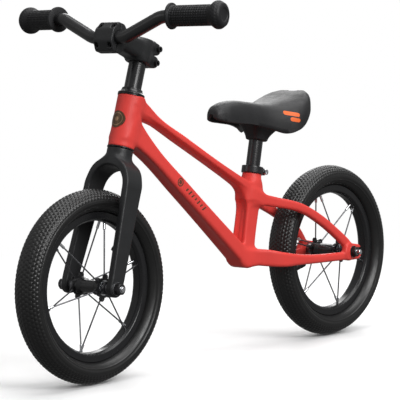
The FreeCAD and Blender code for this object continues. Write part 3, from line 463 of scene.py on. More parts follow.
def castShell(parts, low, high, cell, rounds=2):
    # one point in each cell that the surface crosses, at the mean of its edge crossings, and one quad
    # round each crossed edge; then the points slide along the gradient onto the surface
    values, axes = sampled(parts, low, high, cell)
    inside = values < 0
    cells = np.array(values.shape) - 1
    allIds, allPlaces, allFlips = [], [], []
    for axis in range(3):
        lower = tuple(slice(None, -1) if k == axis else slice(None) for k in range(3))
        upper = tuple(slice(1, None) if k == axis else slice(None) for k in range(3))
        at = np.argwhere(inside[lower] != inside[upper])
        near = values[lower][tuple(at.T)]
        far = values[upper][tuple(at.T)]
        place = at.astype(float)
        place[:, axis] += near / (near - far)
        one, two = (axis + 1) % 3, (axis + 2) % 3
        ids = []
        for stepOne, stepTwo in ((1, 1), (0, 1), (0, 0), (1, 0)):
            corner = at.copy()
            corner[:, one] -= stepOne
            corner[:, two] -= stepTwo
            ids.append((corner[:, 0] * cells[1] + corner[:, 1]) * cells[2] + corner[:, 2])
        allIds.append(np.stack(ids, 1))
        allPlaces.append(place)
        allFlips.append(near > 0)
    ids = np.vstack(allIds)
    places = np.repeat(np.vstack(allPlaces), 4, 0)
    unique, inverse = np.unique(ids.ravel(), return_inverse=True)
    counts = np.bincount(inverse)
    points = np.stack([np.bincount(inverse, places[:, k]) / counts for k in range(3)], 1)
    points = points * cell + np.asarray(low)
    quads = inverse.reshape(-1, 4)
    flips = np.concatenate(allFlips)
    quads[flips] = quads[flips][:, ::-1]
    small = 0.25 * cell
    for k in range(rounds):
        value = distanceAt(parts, points)
        steps = [distanceAt(parts, points + d) - distanceAt(parts, points - d) for d in np.eye(3) * small]
        slope = np.stack(steps, 1) / (2 * small)
        size = np.maximum((slope * slope).sum(1), 0.25)
        move = -np.clip(value, -cell, cell)[:, None] * slope / size[:, None]
        points = points + move
    return points, quads, np.zeros((0, 3), int)


def spanOf(points, margin=0.0):
    points = np.asarray(points)
    return points.min(0) - margin, points.max(0) + margin


tubes = {                         # stations are (distance along the tube, half thickness, half width)
    "top": {"start": headPoint(65), "end": seatPoint(106.8), "chamfer": 6.5,
            "stations": [(0, 14.0, 16.5), (25, 11.6, 15.0), (52, 7.2, 13.6), (120, 6.5, 13.4),
                         (230, 6.7, 13.4), (275, 8.2, 13.6), (300, 10.0, 13.8)]},
    "down": {"start": headPoint(31), "end": junction, "chamfer": 2.2,
             "stations": [(0, 20.0, 16.6), (24, 15.4, 15.6), (60, 11.2, 15.0), (150, 10.6, 15.0),
                          (280, 11.2, 16.6), (335, 12.4, 17.0)]},
    "seat": {"start": junction, "end": seatPoint(110), "chamfer": 0.5,
             "stations": [(0, 13.2, 16.6), (30, 13.2, 14.0), (70, 13.8, 13.2), (110, 14.4, 14.0)]},
}
frameSet = {
    "windowFillet": 30.0, "outerFillet": 4.0, "headFillet": 10.0, "footFillet": 9.0, "edge": 2.6,
    "grooveHalf": 9.8,
    "seatGroove": 3.0, "topGroove": 1.0, "downGroove": 0.9, "headRadius": 19.2, "headLength": 77.0,
    "seatRadius": 15.0, "seatTop": 135.3, "neckRadius": 14.0, "neckTop": 145.5, "cell": 1.65,
}


def tubeDistance(x, z, tube):
    way = unitOf(tube["end"] - tube["start"])
    length = np.linalg.norm(tube["end"] - tube["start"])
    s, v = localOf(x, z, tube["start"], way)
    places, thick, wide = np.array(tube["stations"]).T
    beyond = np.maximum(s - length, 0)
    distance = np.sqrt(v * v + beyond * beyond) - curve(s, places, thick)
    distance = softMax(distance, -s - 3, 3.0)
    return distance, s, v, curve(s, places, wide)


def mainTubes(x, y, z):
    # the three tubes are joined in side view, then bounded sideways by a width that varies smoothly
    top, sTop, vTop, wideTop = tubeDistance(x, z, tubes["top"])
    down, sDown, vDown, wideDown = tubeDistance(x, z, tubes["down"])
    seat, sSeat, vSeat, wideSeat = tubeDistance(x, z, tubes["seat"])
    inWindow = rise(-vTop, -4, 4) * rise(vSeat, -4, 4)
    nearHead = rise(-vTop, -3, 3) * rise(vDown, -3, 3) * rise(x, 60, 120)
    fillet = frameSet["outerFillet"] + (frameSet["windowFillet"] - frameSet["outerFillet"]) * inWindow
    side = softMin(top, seat, fillet)
    fillet = frameSet["footFillet"] + (frameSet["headFillet"] - frameSet["footFillet"]) * nearHead
    side = softMin(side, down, fillet)
    shares = [np.exp(-np.clip(d, -8, 60) / 4) for d in (top, down, seat)]
    total = shares[0] + shares[1] + shares[2]
    wide = (shares[0] * wideTop + shares[1] * wideDown + shares[2] * wideSeat) / total
    # undersides are chamfered, and hollowed along the middle
    under = [rise(-vTop, 0, 5), rise(-vDown, 0, 5), rise(vSeat, 0, 5)]
    chamfer = (shares[0] * under[0] * tubes["top"]["chamfer"] + shares[1] * under[1] * tubes["down"]["chamfer"]
               + shares[2] * tubes["seat"]["chamfer"]) / total
    groove = (shares[0] * under[0] * frameSet["topGroove"] * rise(sTop, 40, 80)
              + shares[1] * under[1] * frameSet["downGroove"] * rise(sDown, 22, 34) * rise(-sDown, -320, -280)
              + shares[2] * under[2] * frameSet["seatGroove"] * rise(sSeat, 14, 30)) / total
    hollowed = np.maximum(1 - (y / frameSet["grooveHalf"]) ** 2, 0)
    side = side + groove * hollowed
    across = np.abs(y) - wide
    body = softMax(side, across, frameSet["edge"])
    return softMax(body, (side + across + chamfer) * 0.7071, 3.0)


def headTube(x, y, z):
    return cylinder(x, y, z, headFoot, steerUp, frameSet["headRadius"], 0, frameSet["headLength"])


def seatTop(x, y, z):
    return cylinder(x, y, z, junction, seatUp, frameSet["seatRadius"], 98, frameSet["seatTop"])


def seatNeck(x, y, z):
    return cylinder(x, y, z, junction, seatUp, frameSet["neckRadius"], 120, frameSet["neckTop"], 0.8)


stays = {                         # stations of a left stay: x, y, z of its middle, half width, half height
    "chain": [(junction[0] + 12, 4, junction[2] + 3, 8.0, 10.5),
              (junction[0] - 8, 9, junction[2] + 3, 9.5, 12.0),
              (junction[0] - 26, 17, junction[2] + 1.5, 9.5, 13.2),
              (junction[0] - 56, 36, junction[2] - 3.5, 7.8, 11.6),
              (junction[0] - 90, 39, junction[2] - 7.0, 6.2, 9.0),
              (rearAxle[0] + 38, 41.5, rearAxle[2] - 6, 5.5, 6.8),
              (rearAxle[0] + 8, 47, rearAxle[2] - 6, 4.2, 7.0)],
    "seat": [(seatPoint(98)[0] + 6, 5, seatPoint(98)[2] + 2, 8.0, 10.0),
             (seatPoint(98)[0] - 4, 9, seatPoint(98)[2] - 1, 7.6, 9.4),
             (-113.5, 21, 232.5, 6.8, 8.0), (-150.3, 36, 223.1, 6.1, 7.1),
             (rearAxle[0] + 78, 39, rearAxle[2] + 61, 6.0, 7.4),
             (rearAxle[0] + 27, 41.2, rearAxle[2] + 28.5, 5.5, 7.4),
             (rearAxle[0] + 4, 46.5, rearAxle[2] + 9, 4.3, 7.6)],
    "corner": 5.0,
}
dropoutSet = {"ahead": 4.0, "reach": 17.0, "drop": 1.5, "radius": 14.0, "taper": 1.5, "side": 47.0,
              "half": 4.0, "slotHalf": 4.95, "slotReach": 45.0}


def stayDistance(x, y, z, stations):
    # a bar whose middle and half sizes are smooth functions of x, measured square to its slope
    table = np.array(sorted(stations)).T
    places = table[0]
    ys, zs, wide, tall = (curve(x, places, row) for row in table[1:])
    slopeY = curve(x + 1, places, table[1]) - curve(x - 1, places, table[1])
    slopeZ = curve(x + 1, places, table[2]) - curve(x - 1, places, table[2])
    acrossY = (np.abs(y) - ys) / np.sqrt(1 + slopeY * slopeY / 4)
    acrossZ = (z - zs) / np.sqrt(1 + slopeZ * slopeZ / 4)
    bar = softMax(np.abs(acrossY) - wide, np.abs(acrossZ) - tall, stays["corner"])
    return softMax(bar, np.maximum(x - places[-1], places[0] - x), 3.0)


def chainstay(x, y, z):
    return stayDistance(x, y, z, stays["chain"])


def seatstay(x, y, z):
    return stayDistance(x, y, z, stays["seat"])


def dropout(x, y, z):
    # a plate shaped like two discs of unequal size with a belt round them
    setting = dropoutSet
    start = rearAxle + vec(setting["ahead"], 0, 0)
    along = vec(-setting["reach"], 0, -setting["drop"])
    px, pz = x - start[0], z - start[2]
    t = np.clip((px * along[0] + pz * along[2]) / (along @ along), 0, 1)
    far = np.sqrt((px - t * along[0]) ** 2 + (pz - t * along[2]) ** 2)
    flat = far - (setting["radius"] - setting["taper"] * t)
    return softMax(flat, np.abs(np.abs(y) - setting["side"]) - setting["half"], 2.0)


def axleSlot(x, y, z):
    px, pz = x - rearAxle[0], z - rearAxle[2]
    away = np.sqrt((px - np.clip(px, -dropoutSet["slotReach"], 0)) ** 2 + pz * pz)
    return away - dropoutSet["slotHalf"] + 0 * y


def makeFrame():
    tubeLow, tubeHigh = spanOf([headPoint(-6), headPoint(84), junction, seatPoint(120)], 24)
    stayLow = vec(rearAxle[0] - 28, -52, rearAxle[2] - 18)
    parts = [
        {"shape": mainTubes, "low": vec(tubeLow[0], -19, tubeLow[2]),
         "high": vec(tubeHigh[0], 19, tubeHigh[2])},
        {"shape": headTube, "low": vec(165, -21, 325), "high": vec(235, 21, 420), "reach": 8.0},
        {"shape": seatTop, "low": vec(-105, -17, 210), "high": vec(-55, 17, 290), "reach": 12.0},
        {"shape": seatNeck, "low": vec(-105, -16, 255), "high": vec(-65, 16, 295), "reach": 1.5},
        {"shape": chainstay, "low": stayLow, "high": vec(-30, 52, 170), "reach": 9.0},
        {"shape": seatstay, "low": vec(stayLow[0], -52, 130), "high": vec(-60, 52, 262), "reach": 10.0},
        {"shape": dropout, "low": stayLow, "high": vec(rearAxle[0] + 20, 52, rearAxle[2] + 18), "reach": 5.0},
        {"shape": axleSlot, "low": vec(rearAxle[0] - 40, -52, rearAxle[2] - 6),
         "high": vec(rearAxle[0] + 6, 52, rearAxle[2] + 6), "cut": True, "reach": 1.2},
    ]
    low, high = spanOf([(rearAxle[0] - 32, -55, 118), (240, 55, 425)])
    shell = castShell(parts, low, high, frameSet["cell"])
    headBore = turned([(16.6, 0.4), (16.6, 76.6)], headFoot, steerUp, 64, closed=False)
    seatBore = turned([(11.3, 3.0), (11.3, 145.1)], junction, seatUp, 64, closed=False)
    makePiece("castFrame", [shell], redPaint, "frame_body", ["frame"], sharp=50,
              hollow=[headBore, seatBore])


def printFrame():
    # a ringed disc and a row of slanting bars on both sides of the down tube
    tree = redPaint.node_tree
    way = unitOf(junction - headPoint(31))
    up = vec(-way[2], 0, way[0]) * -1
    along, across, height = localAxes(tree, headPoint(31) + way * 134 + up * 0.5, way, up)
    outward = calculate(tree, "GREATER_THAN", height, 0.0125)
    far = farFrom(tree, along, across)
    disc = calculate(tree, "LESS_THAN", far, 6.6)
    ring = within(tree, far, 3.4, 4.5)
    disc = calculate(tree, "SUBTRACT", disc, ring)
    slanted = calculate(tree, "ADD", along, calculate(tree, "MULTIPLY", across, -0.45))
    step = calculate(tree, "DIVIDE", slanted, 8.0)
    share = calculate(tree, "FRACT", step)
    number = calculate(tree, "FLOOR", step)
    uneven = calculate(tree, "FRACT", calculate(tree, "MULTIPLY", number, 0.618))
    tall = calculate(tree, "MULTIPLY_ADD", uneven, 2.0)
    tall.node.inputs[2].default_value = 2.2
    bars = calculate(tree, "MULTIPLY", within(tree, share, 0.2, 0.58), within(tree, slanted, 16, 72))
    low = calculate(tree, "LESS_THAN", calculate(tree, "ABSOLUTE", across), tall)
    bars = calculate(tree, "MULTIPLY", bars, low)
    mask = calculate(tree, "MULTIPLY", calculate(tree, "MAXIMUM", disc, bars), outward)
    printOn(redPaint, mask, (0.115, 0.045, 0.025), 0.42)


forkSet = {
    "crownRadius": 19.0, "crownTop": -2.0, "archCentre": -61.0, "archInner": 32.2,
    "archOuter": 43.5, "axle": -205.7, "rake": 2.9, "tipInner": 39.75, "tipOuter": 50.75,
    "tipRadius": 12.5, "shoulderHalf": 17.0, "cell": 1.45,
}


def steeredAxes(x, y, z):
    ahead = (x - headFoot[0]) * steerAhead[0] + (z - headFoot[2]) * steerAhead[2]
    up = (x - headFoot[0]) * steerUp[0] + (z - headFoot[2]) * steerUp[2]
    return ahead, up


def forkBlades(x, y, z):
    # in front view a round arch over two slowly spreading blades, in side view a bar with a round tip
    setting = forkSet
    ahead, up = steeredAxes(x, y, z)
    below = np.clip((setting["archCentre"] - up) / (setting["archCentre"] - setting["axle"] - 14), 0, 1)
    inner = setting["archInner"] + (setting["tipInner"] - setting["archInner"]) * below
    outer = setting["archOuter"] + (setting["tipOuter"] - setting["archOuter"]) * below
    lift = np.maximum(up - setting["archCentre"], 0)
    far = np.sqrt(y * y + lift * lift)
    thinning = 1.2 * rise(lift, 14, 34)
    front = np.maximum(far - outer - thinning, inner - far)
    drop = np.clip((-54 - up) / (-54 - setting["axle"]), 0, 1)
    half = setting["shoulderHalf"] + (setting["tipRadius"] - setting["shoulderHalf"]) * drop ** 0.8
    half = half + 1.5 * rise(up, -50, -24)
    middle = setting["rake"] * drop
    tip = np.maximum(setting["axle"] - up, 0)
    side = np.sqrt((ahead - middle) ** 2 + tip * tip) - half
    blade = softMax(front, side, 2.4)
    return softMax(blade, (front + side + 1.3) * 0.7071, 1.2)


def forkCrown(x, y, z):
    return cylinder(x, y, z, headFoot, steerUp, forkSet["crownRadius"], -30, forkSet["crownTop"], 1.6)


def forkArchRoom(x, y, z):
    ahead, up = steeredAxes(x, y, z)
    lift = up - forkSet["archCentre"]
    return np.sqrt(y * y + lift * lift) - forkSet["archInner"] + 0 * ahead


def makeFork():
    tips = [headPoint(4), headPoint(-232)]
    low, high = spanOf(tips + [headPoint(-220) + steerAhead * 20, headPoint(0) - steerAhead * 20], 24)
    low[1], high[1] = -56, 56
    parts = [
        {"shape": forkBlades, "low": low, "high": high},
        {"shape": forkCrown, "low": low, "high": high, "reach": 9.0},
        {"shape": forkArchRoom, "low": low, "high": high, "cut": True, "reach": 2.0},
    ]
    shell = castShell(parts, low, high, forkSet["cell"])
    makePiece("castFork", [shell], darkCast, "fork_body", ["fork"], sharp=50)


stemSet = {
    "reach": 67.0, "rise": 145.8, "ringRadius": 18.5, "ringHalf": 17.5, "earHalf": 12.0, "earReach": 22.4,
    "earPitch": 9.6, "earRadius": 9.0, "slit": 1.2, "clampHalf": 19.5, "gap": 0.5, "cell": 1.0,
    "plateCell": 0.8,
    "outline": [(14, -9), (14, 9), (5, 22), (-8, 22), (-16, 14), (-16, -14), (-8, -22), (5, -22)],
    "boltSide": 13.0, "boltRise": 15.0, "wellRadius": 4.7, "wellStart": 3.1, "steererBore": 12.9,
    "barBore": 9.6,
    "armPlaces": [0, 20, 40, 56], "armWide": [17.5, 16.8, 16.4, 17.0], "armTall": [16.5, 15.0, 13.6, 14.0],
}


def barrel(x, y, z):
    # the smallest room between eight flat faces round the handlebar, with chamfered ends
    ahead, up = steeredAxes(x, y, z)
    ahead, up = ahead - stemSet["reach"], up - stemSet["rise"]
    corners = np.array(stemSet["outline"], float)
    value = None
    for first, second in zip(corners, np.roll(corners, -1, 0)):
        way = unitOf(second - first)
        face = (ahead - first[0]) * way[1] - (up - first[1]) * way[0]
        value = face if value is None else softMax(value, face, 2.2)
    ends = np.abs(y) - stemSet["clampHalf"]
    value = softMax(value, ends, 1.6)
    return softMax(value, (value + ends + 2.0) * 0.7071, 1.0)


def stemArm(x, y, z):
    ahead, up = steeredAxes(x, y, z)
    up = up - stemSet["rise"]
    wide = curve(ahead, stemSet["armPlaces"], stemSet["armWide"])
    tall = curve(ahead, stemSet["armPlaces"], stemSet["armTall"])
    arm = softMax(np.abs(y) - wide, np.abs(up) - tall, 9.0)
    return softMax(arm, np.abs(ahead - 27) - 29, 3.0)


def stemRing(x, y, z):
    centre = headPoint(stemSet["rise"])
    half = stemSet["ringHalf"]
    return cylinder(x, y, z, centre, steerUp, stemSet["ringRadius"], -half, half, 3.0)


def stemEars(x, y, z):
    # two rounded lugs behind the ring, one above the other
    ahead, up = steeredAxes(x, y, z)
    up = np.abs(up - stemSet["rise"]) - stemSet["earPitch"]
    back = ahead + stemSet["earReach"]
    lug = np.sqrt((back - np.clip(back, 0, 14)) ** 2 + up * up) - stemSet["earRadius"]
    return softMax(lug, np.abs(y) - stemSet["earHalf"], 2.5)


def stemSlit(x, y, z):
    ahead, up = steeredAxes(x, y, z)
    return np.maximum(np.abs(y) - stemSet["slit"], ahead) + 0 * up


def steererBore(x, y, z):
    return cylinder(x, y, z, headPoint(stemSet["rise"]), steerUp, stemSet["steererBore"], -40, 40, 0.5)


def barBore(x, y, z):
    ahead, up = steeredAxes(x, y, z)
    far = np.sqrt((ahead - stemSet["reach"]) ** 2 + (up - stemSet["rise"]) ** 2)
    return far - stemSet["barBore"] + 0 * y


def boltWells(x, y, z):
    ahead, up = steeredAxes(x, y, z)
    up = np.abs(up - stemSet["rise"]) - stemSet["boltRise"]
    aside = np.abs(y) - stemSet["boltSide"]
    floor = stemSet["reach"] + stemSet["wellStart"]
    return np.maximum(np.sqrt(up * up + aside * aside) - stemSet["wellRadius"], floor - ahead)


def aheadOfSplit(x, y, z):
    ahead, up = steeredAxes(x, y, z)
    return stemSet["reach"] - stemSet["gap"] - ahead + 0 * y


def behindSplit(x, y, z):
    ahead, up = steeredAxes(x, y, z)
    return ahead - stemSet["reach"] - stemSet["gap"] + 0 * y


def makeStem():
    centre = headPoint(stemSet["rise"])
    low, high = spanOf([centre - steerAhead * 34, centre + steerAhead * 84], 30)
    low[1], high[1] = -22, 22
    whole = {"low": low, "high": high}
    body = [{"shape": barrel, **whole}, {"shape": stemArm, "reach": 6.0, **whole},
            {"shape": stemRing, "reach": 5.0, **whole}, {"shape": stemEars, "reach": 6.0, **whole},
            {"shape": stemSlit, "cut": True, **whole}, {"shape": steererBore, "cut": True, **whole},
            {"shape": barBore, "cut": True, **whole}, {"shape": aheadOfSplit, "cut": True, **whole}]
    shell = castShell(body, low, high, stemSet["cell"])
    makePiece("stemBody", [shell], darkCast, "stem", ["stem_body"], sharp=50)
    plate = [{"shape": barrel, **whole}, {"shape": barBore, "cut": True, **whole},
             {"shape": behindSplit, "cut": True, **whole},
             {"shape": boltWells, "cut": True, "reach": 0.8, **whole}]
    shell = castShell(plate, low, high, stemSet["plateCell"])
    makePiece("stemFaceplate", [shell], darkCast, "stem", ["stem_faceplate"], sharp=50)


barSet = {"straight": 31.3, "bendOut": 96.4, "bendRise": 28.0, "bendBack": 6.3, "sweep": 11.1,
          "bend": 40.0, "radius": 9.5, "around": 48}
gripSet = {"start": 14.6, "length": 86.5, "radius": 15.0, "bulb": 20.0, "bulbStart": 66.5,
           "squares": 24, "pitch": 3.93, "depth": 0.9}


def bentPath(corners, bend):
    # straight runs joined by arcs; an arc's points come from turning the first run's direction
    points = [corners[0]]
    for before, corner, after in zip(corners, corners[1:], corners[2:]):
        wayIn, wayOut = unitOf(corner - before), unitOf(after - corner)
        turn = math.acos(np.clip(wayIn @ wayOut, -1, 1))
        reach = bend * math.tan(turn / 2)
        inward = unitOf(wayOut - wayIn * (wayIn @ wayOut))
        angle = np.linspace(0, turn, 14)[:, None]
        start = corner - wayIn * reach
        points += list(start + bend * (np.sin(angle) * wayIn + (1 - np.cos(angle)) * inward))
    return np.array(points + [corners[-1]])


def sweptShell(path, radius, around):
    # a circle carried along the path, square to it, in a frame kept level by the x axis
    ways = np.gradient(path, axis=0)
    ways /= np.linalg.norm(ways, axis=1, keepdims=True)
    first = np.cross(ways, (1, 0, 0))
    first /= np.linalg.norm(first, axis=1, keepdims=True)
    second = np.cross(ways, first)
    angle = np.linspace(0, 2 * math.pi, around, endpoint=False)[None, :, None]
    ring = np.cos(angle) * first[:, None] + np.sin(angle) * second[:, None]
    return gridShell(path[:, None] + radius * ring, closed=False)


def gripPlace():
    outer = barAt + vec(-barSet["bendBack"], barSet["bendOut"], barSet["bendRise"])
    sweep = math.radians(barSet["sweep"])
    return outer, vec(-math.sin(sweep), math.cos(sweep), 0)


def makeHandlebar():
    outer, way = gripPlace()
    end = outer + way * (gripSet["start"] + gripSet["length"] - 7.3)
    left = [barAt + vec(0, barSet["straight"], 0), outer, end]
    right = [point * vec(1, -1, 1) for point in reversed(left)]
    shell = sweptShell(bentPath(right + left, barSet["bend"]), barSet["radius"], barSet["around"])
    makePiece("riseBar", [shell], glossBlack, "handlebar", ["handlebar_tube"])


def gripRelief(angle):
    # square blocks cut by two sets of grooves on the body, and rows of dots on the bulb
    setting = gripSet
    height = gripRows()[:, 1][:, None]
    radius = gripRows()[:, 0][:, None]
    outside = np.concatenate([[False] * 4, [True] * (len(height) - 4)])[:, None]
    onBody = rise(height, 6.0, 7.0) * rise(-height, -setting["bulbStart"], -setting["bulbStart"] + 1.5)
    ringGroove = rise(np.cos(2 * math.pi * height / setting["pitch"]), 0.35, 0.85)
    lineGroove = rise(np.cos(angle[None, :] * setting["squares"]), 0.35, 0.85)
    onBulb = rise(height, 70, 71.5) * rise(-height, -84.0, -82.5)
    shifted = angle[None, :] * 24 + math.pi * np.floor((height - 70) / 3.3)
    dots = rise(np.cos(shifted) * np.sin(math.pi * ((height - 70) / 3.3 % 1)), 0.35, 0.8)
    relief = -setting["depth"] * onBody * np.maximum(ringGroove, lineGroove) - 0.5 * onBulb * dots
    return np.where(outside & (radius > 12), relief, 0.0)


def gripRows():
    # outline from the bar's end wall, along the bore, round the flange, along the body and over the bulb
    setting = gripSet
    height = np.concatenate([np.linspace(5.0, setting["bulbStart"], 120), np.linspace(67.1, 84.0, 42)])
    bulge = rise(height, setting["bulbStart"] - 1, setting["bulbStart"] + 9.5)
    closing = rise(height, 78, 86.5)
    radius = setting["radius"] + (setting["bulb"] - setting["radius"]) * bulge - 3.6 * closing
    body = np.stack([radius, height], 1)
    start = [(0.6, 79.4), (9.56, 79.4), (9.56, 40.0), (9.56, 0.2), (17.6, 0.0), (18.4, 0.3), (18.75, 1.0),
             (18.75, 2.6), (18.4, 3.3), (17.4, 3.7), (15.6, 4.3)]
    end = [(16.6, 84.9), (14.6, 86.0), (12.6, 86.5), (10.6, 86.45), (9.6, 86.0), (9.0, 85.2), (8.0, 84.9),
           (0.6, 84.8)]
    return np.vstack([start, body, end])


def makeGrips():
    outer, way = gripPlace()
    shell = turned(gripRows(), outer + way * gripSet["start"], way, 180, closed=False, relief=gripRelief)
    other = mirrored(shell)
    makePiece("leftGrip", [shell], gripRubber, "handlebar", ["grip_left"], sharp=60)
    makePiece("rightGrip", [other], gripRubber, "handlebar", ["grip_right"], sharp=60)


def makeTurnedParts():
    steerer = softened([(10.5, -21), (12.7, -21), (12.7, 161.2), (10.5, 161.2)], 0.5)
    makePiece("steererTube", [turned(steerer, headFoot, steerUp)], glossBlack, "fork_body",
              ["steerer_tube"])
    cover = softened([(12.75, 79.0), (19.8, 79.0), (19.8, 80.9), (17.2, 83.0), (15.5, 86.0), (15.0, 88.5),
                      (12.75, 88.5)], 0.6)
    makePiece("topCover", [turned(cover, headFoot, steerUp)], glossBlack, "fork_body",
              ["headset_top_cover"])
    post = softened([(9.1, 35.5), (11.1, 35.5), (11.1, 210.3), (9.1, 210.3)], 0.4)
    makePiece("seatPost", [turned(post, junction, seatUp)], glossBlack, "seat", ["seat_post"])


collarSet = {"height": 141.5, "radius": 17.0, "half": 5.9, "earReach": 21.4, "earRadius": 5.4, "earHalf": 8.0,
             "slit": 1.1, "bore": 12.0, "cell": 0.75}


def makeCollar():
    setting = collarSet
    middle = seatPoint(setting["height"])

    def ring(x, y, z):
        return cylinder(x, y, z, middle, seatUp, setting["radius"], -setting["half"], setting["half"], 1.6)

    def ears(x, y, z):
        back = (x - middle[0]) * seatAhead[0] + (z - middle[2]) * seatAhead[2]
        up = (x - middle[0]) * seatUp[0] + (z - middle[2]) * seatUp[2]
        back = back + setting["earReach"]
        lug = np.sqrt((back - np.clip(back, 0, 14)) ** 2 + up * up) - setting["earRadius"]
        return softMax(lug, np.abs(y) - setting["earHalf"], 2.0)

    def slit(x, y, z):
        back = (x - middle[0]) * seatAhead[0] + (z - middle[2]) * seatAhead[2]
        return np.maximum(np.abs(y) - setting["slit"], back)

    def bore(x, y, z):
        return cylinder(x, y, z, middle, seatUp, setting["bore"], -20, 20, 0.5)

    low, high = spanOf([middle - seatAhead * 28, middle + seatAhead * 18], 10)
    low[1], high[1] = -19, 19
    whole = {"low": low, "high": high}
    parts = [{"shape": ring, **whole}, {"shape": ears, "reach": 4.0, **whole},
             {"shape": slit, "cut": True, **whole}, {"shape": bore, "cut": True, **whole}]
    shell = castShell(parts, low, high, setting["cell"])
    makePiece("seatCollar", [shell], glossBlack, "frame_body", ["seat_clamp_collar"], sharp=50)


tyreSet = {
    "blocks": 128, "perBlock": 6, "tread": 1.0, "pitch": 5.2, "treadEnd": 30.5, "shoulder": 16.0,
    "lines": (33.5, 38.0), "lineHeight": 0.7, "lineHalf": 0.55, "count": 112,
}


def tyreOutline():
    # outer side from bead to bead, then the inside; each point is (radius, y), and the tread's share
    outer = np.array([(107.9, 10.4), (109.2, 13.6), (112.0, 17.4), (116.0, 20.8), (121.0, 22.9), (126.0, 22.6),
                      (130.3, 20.5), (134.0, 16.6), (136.9, 11.4), (138.9, 5.9), (139.9, 0.0)])
    outer = np.vstack([outer, outer[:-1][::-1] * vec(1, -1)])
    gaps = np.concatenate([[0], np.cumsum(np.linalg.norm(np.diff(outer, axis=0), axis=1))])
    along = np.linspace(0, gaps[-1], tyreSet["count"])
    line = np.stack([curve(along, gaps, outer[:, k]) for k in range(2)], 1)
    inner = np.array([(107.7, -8.7), (101.8, -8.6), (101.8, -5.6), (110.0, -7.4), (112.4, -14.6), (121, -19.9),
                      (130, -14.4), (134.4, -6), (135.3, 0), (134.4, 6), (130, 14.4), (121, 19.9), (112.4, 14.6),
                      (110.0, 7.4), (101.8, 5.6), (101.8, 8.6), (107.7, 8.7)])
    return line, inner, along - gaps[-1] / 2


def tyreShell(origin):
    # every outline point goes round the axle; on the crown the radius drops in the grooves between blocks
    setting = tyreSet
    line, inner, along = tyreOutline()
    around = setting["blocks"] * setting["perBlock"]
    angle = np.linspace(0, 2 * math.pi, around, endpoint=False)
    row = along / setting["pitch"]
    onTread = rise(-np.abs(along), -setting["treadEnd"], -setting["treadEnd"] + 1.5)
    shift = 0.5 * (np.floor(row + 0.5) % 2)
    across = rise(np.cos(2 * math.pi * row + math.pi), 0.35, 0.85)
    around2d = rise(np.cos(angle[None, :] * setting["blocks"] + 2 * math.pi * shift[:, None]), 0.30, 0.80)
    depth = setting["tread"] * (1.0 - 0.35 * rise(np.abs(along), setting["shoulder"], 30))
    groove = np.maximum(across[:, None], around2d) * (depth * onTread)[:, None]
    # two raised lines go round each side wall
    lines = sum(np.exp(-((np.abs(along) - place) / setting["lineHalf"]) ** 2) for place in setting["lines"])
    lines = setting["lineHeight"] * lines
    slope = np.gradient(line, axis=0)
    outward = np.stack([-slope[:, 1], slope[:, 0]], 1)
    outward /= np.linalg.norm(outward, axis=1, keepdims=True)
    outward *= np.sign(outward[len(outward) // 2, 0])
    offset = lines[:, None] - groove
    radius = line[:, :1] + outward[:, :1] * offset
    height = line[:, 1:] + outward[:, 1:] * offset
    radius = np.vstack([radius, np.repeat(inner[:, :1], around, 1)])
    height = np.vstack([height, np.repeat(inner[:, 1:], around, 1)])
    points = np.stack([radius * np.cos(angle), height, radius * np.sin(angle)], -1) + origin
    return gridShell(points)


def rimShell(origin):
    profile = softened([(94.4, 5.9), (97.9, 10.7), (107.4, 10.7), (107.4, 8.9), (101.4, 8.9), (101.2, 5.5),
                        (96.2, 4.3), (96.2, -4.3), (101.2, -5.5), (101.4, -8.9), (107.4, -8.9), (107.4, -10.7),
                        (97.9, -10.7), (94.4, -5.9)], 1.1)
    return turned(profile, origin, sideways, 256)


def makeWheels():
    for name, centre in (("front", frontAxle), ("rear", rearAxle)):
        body = name + "_wheel"
        tyre = tyreShell(centre)
        makePiece(name + "Tyre", [tyre], tyreRubber, body, [name + "_tyre"], sharp=55)
        makePiece(name + "Rim", [rimShell(centre)], rimBlack, body, [name + "_rim"])


saddleSet = {                     # stations from the post's top: x, half width, top, lower edge
    "stations": [(112.5, 3, 22, 20), (110, 8.5, 28, 17.5), (104, 14.2, 34.5, 14.5), (94, 18.6, 38.8, 12.2),
                 (70, 23, 43.5, 9), (34, 29, 41, 4), (8, 37, 38, -3), (-16, 49, 38.5, -10), (-38, 58.5, 43, -4),
                 (-58, 57, 49.0, 12), (-72, 50, 54, 27), (-82, 39, 56.5, 38), (-88, 24, 57, 46),
                 (-90.5, 9, 55.5, 51)],
    "wall": 5.0, "around": 72, "along": 150,
}
postTop = seatPoint(210.5)


def saddleSection(x, inset):
    # half width, top and lower edge at x, shrunk by inset towards the inside
    table = np.array(sorted(saddleSet["stations"])).T
    wide, top, low = (curve(x, table[0], row) for row in table[1:])
    return np.maximum(wide - inset, 0.4), np.maximum(top - inset, low + 0.8), low


def saddleSkinPoints(t, u, inset):
    # t runs from nose to tail, and u from the left lower edge over the top to the right one
    x = 111.8 - 201.7 * (0.5 - 0.5 * np.cos(math.pi * t))
    inset = inset * (1 + 2 * rise(-x, 20, 70))
    x = x * (1 - inset / 110) - inset * 0.1
    wide, top, low = saddleSection(x, inset)
    angle = math.pi * u
    c, s = np.cos(angle), np.sin(angle)
    flat = 0.72
    y = wide * np.sign(c) * np.abs(c) ** flat
    x = x + 0 * y
    dome = np.abs(s) ** 0.62 + 0 * y
    height = low + (top - low) * dome
    tail = rise(-x, 20, 80)
    nose = rise(x, 60, 105)
    sideShare = np.minimum(np.abs(y / np.maximum(wide, 1)), 1)
    dip = (3.6 * tail + 0.8 * (1 - tail) * (1 - nose)) * (1 - sideShare ** 2)
    height = height - dip * rise(dome, 0.7, 1.0)
    return np.stack([postTop[0] + x, y, postTop[2] + height], -1)


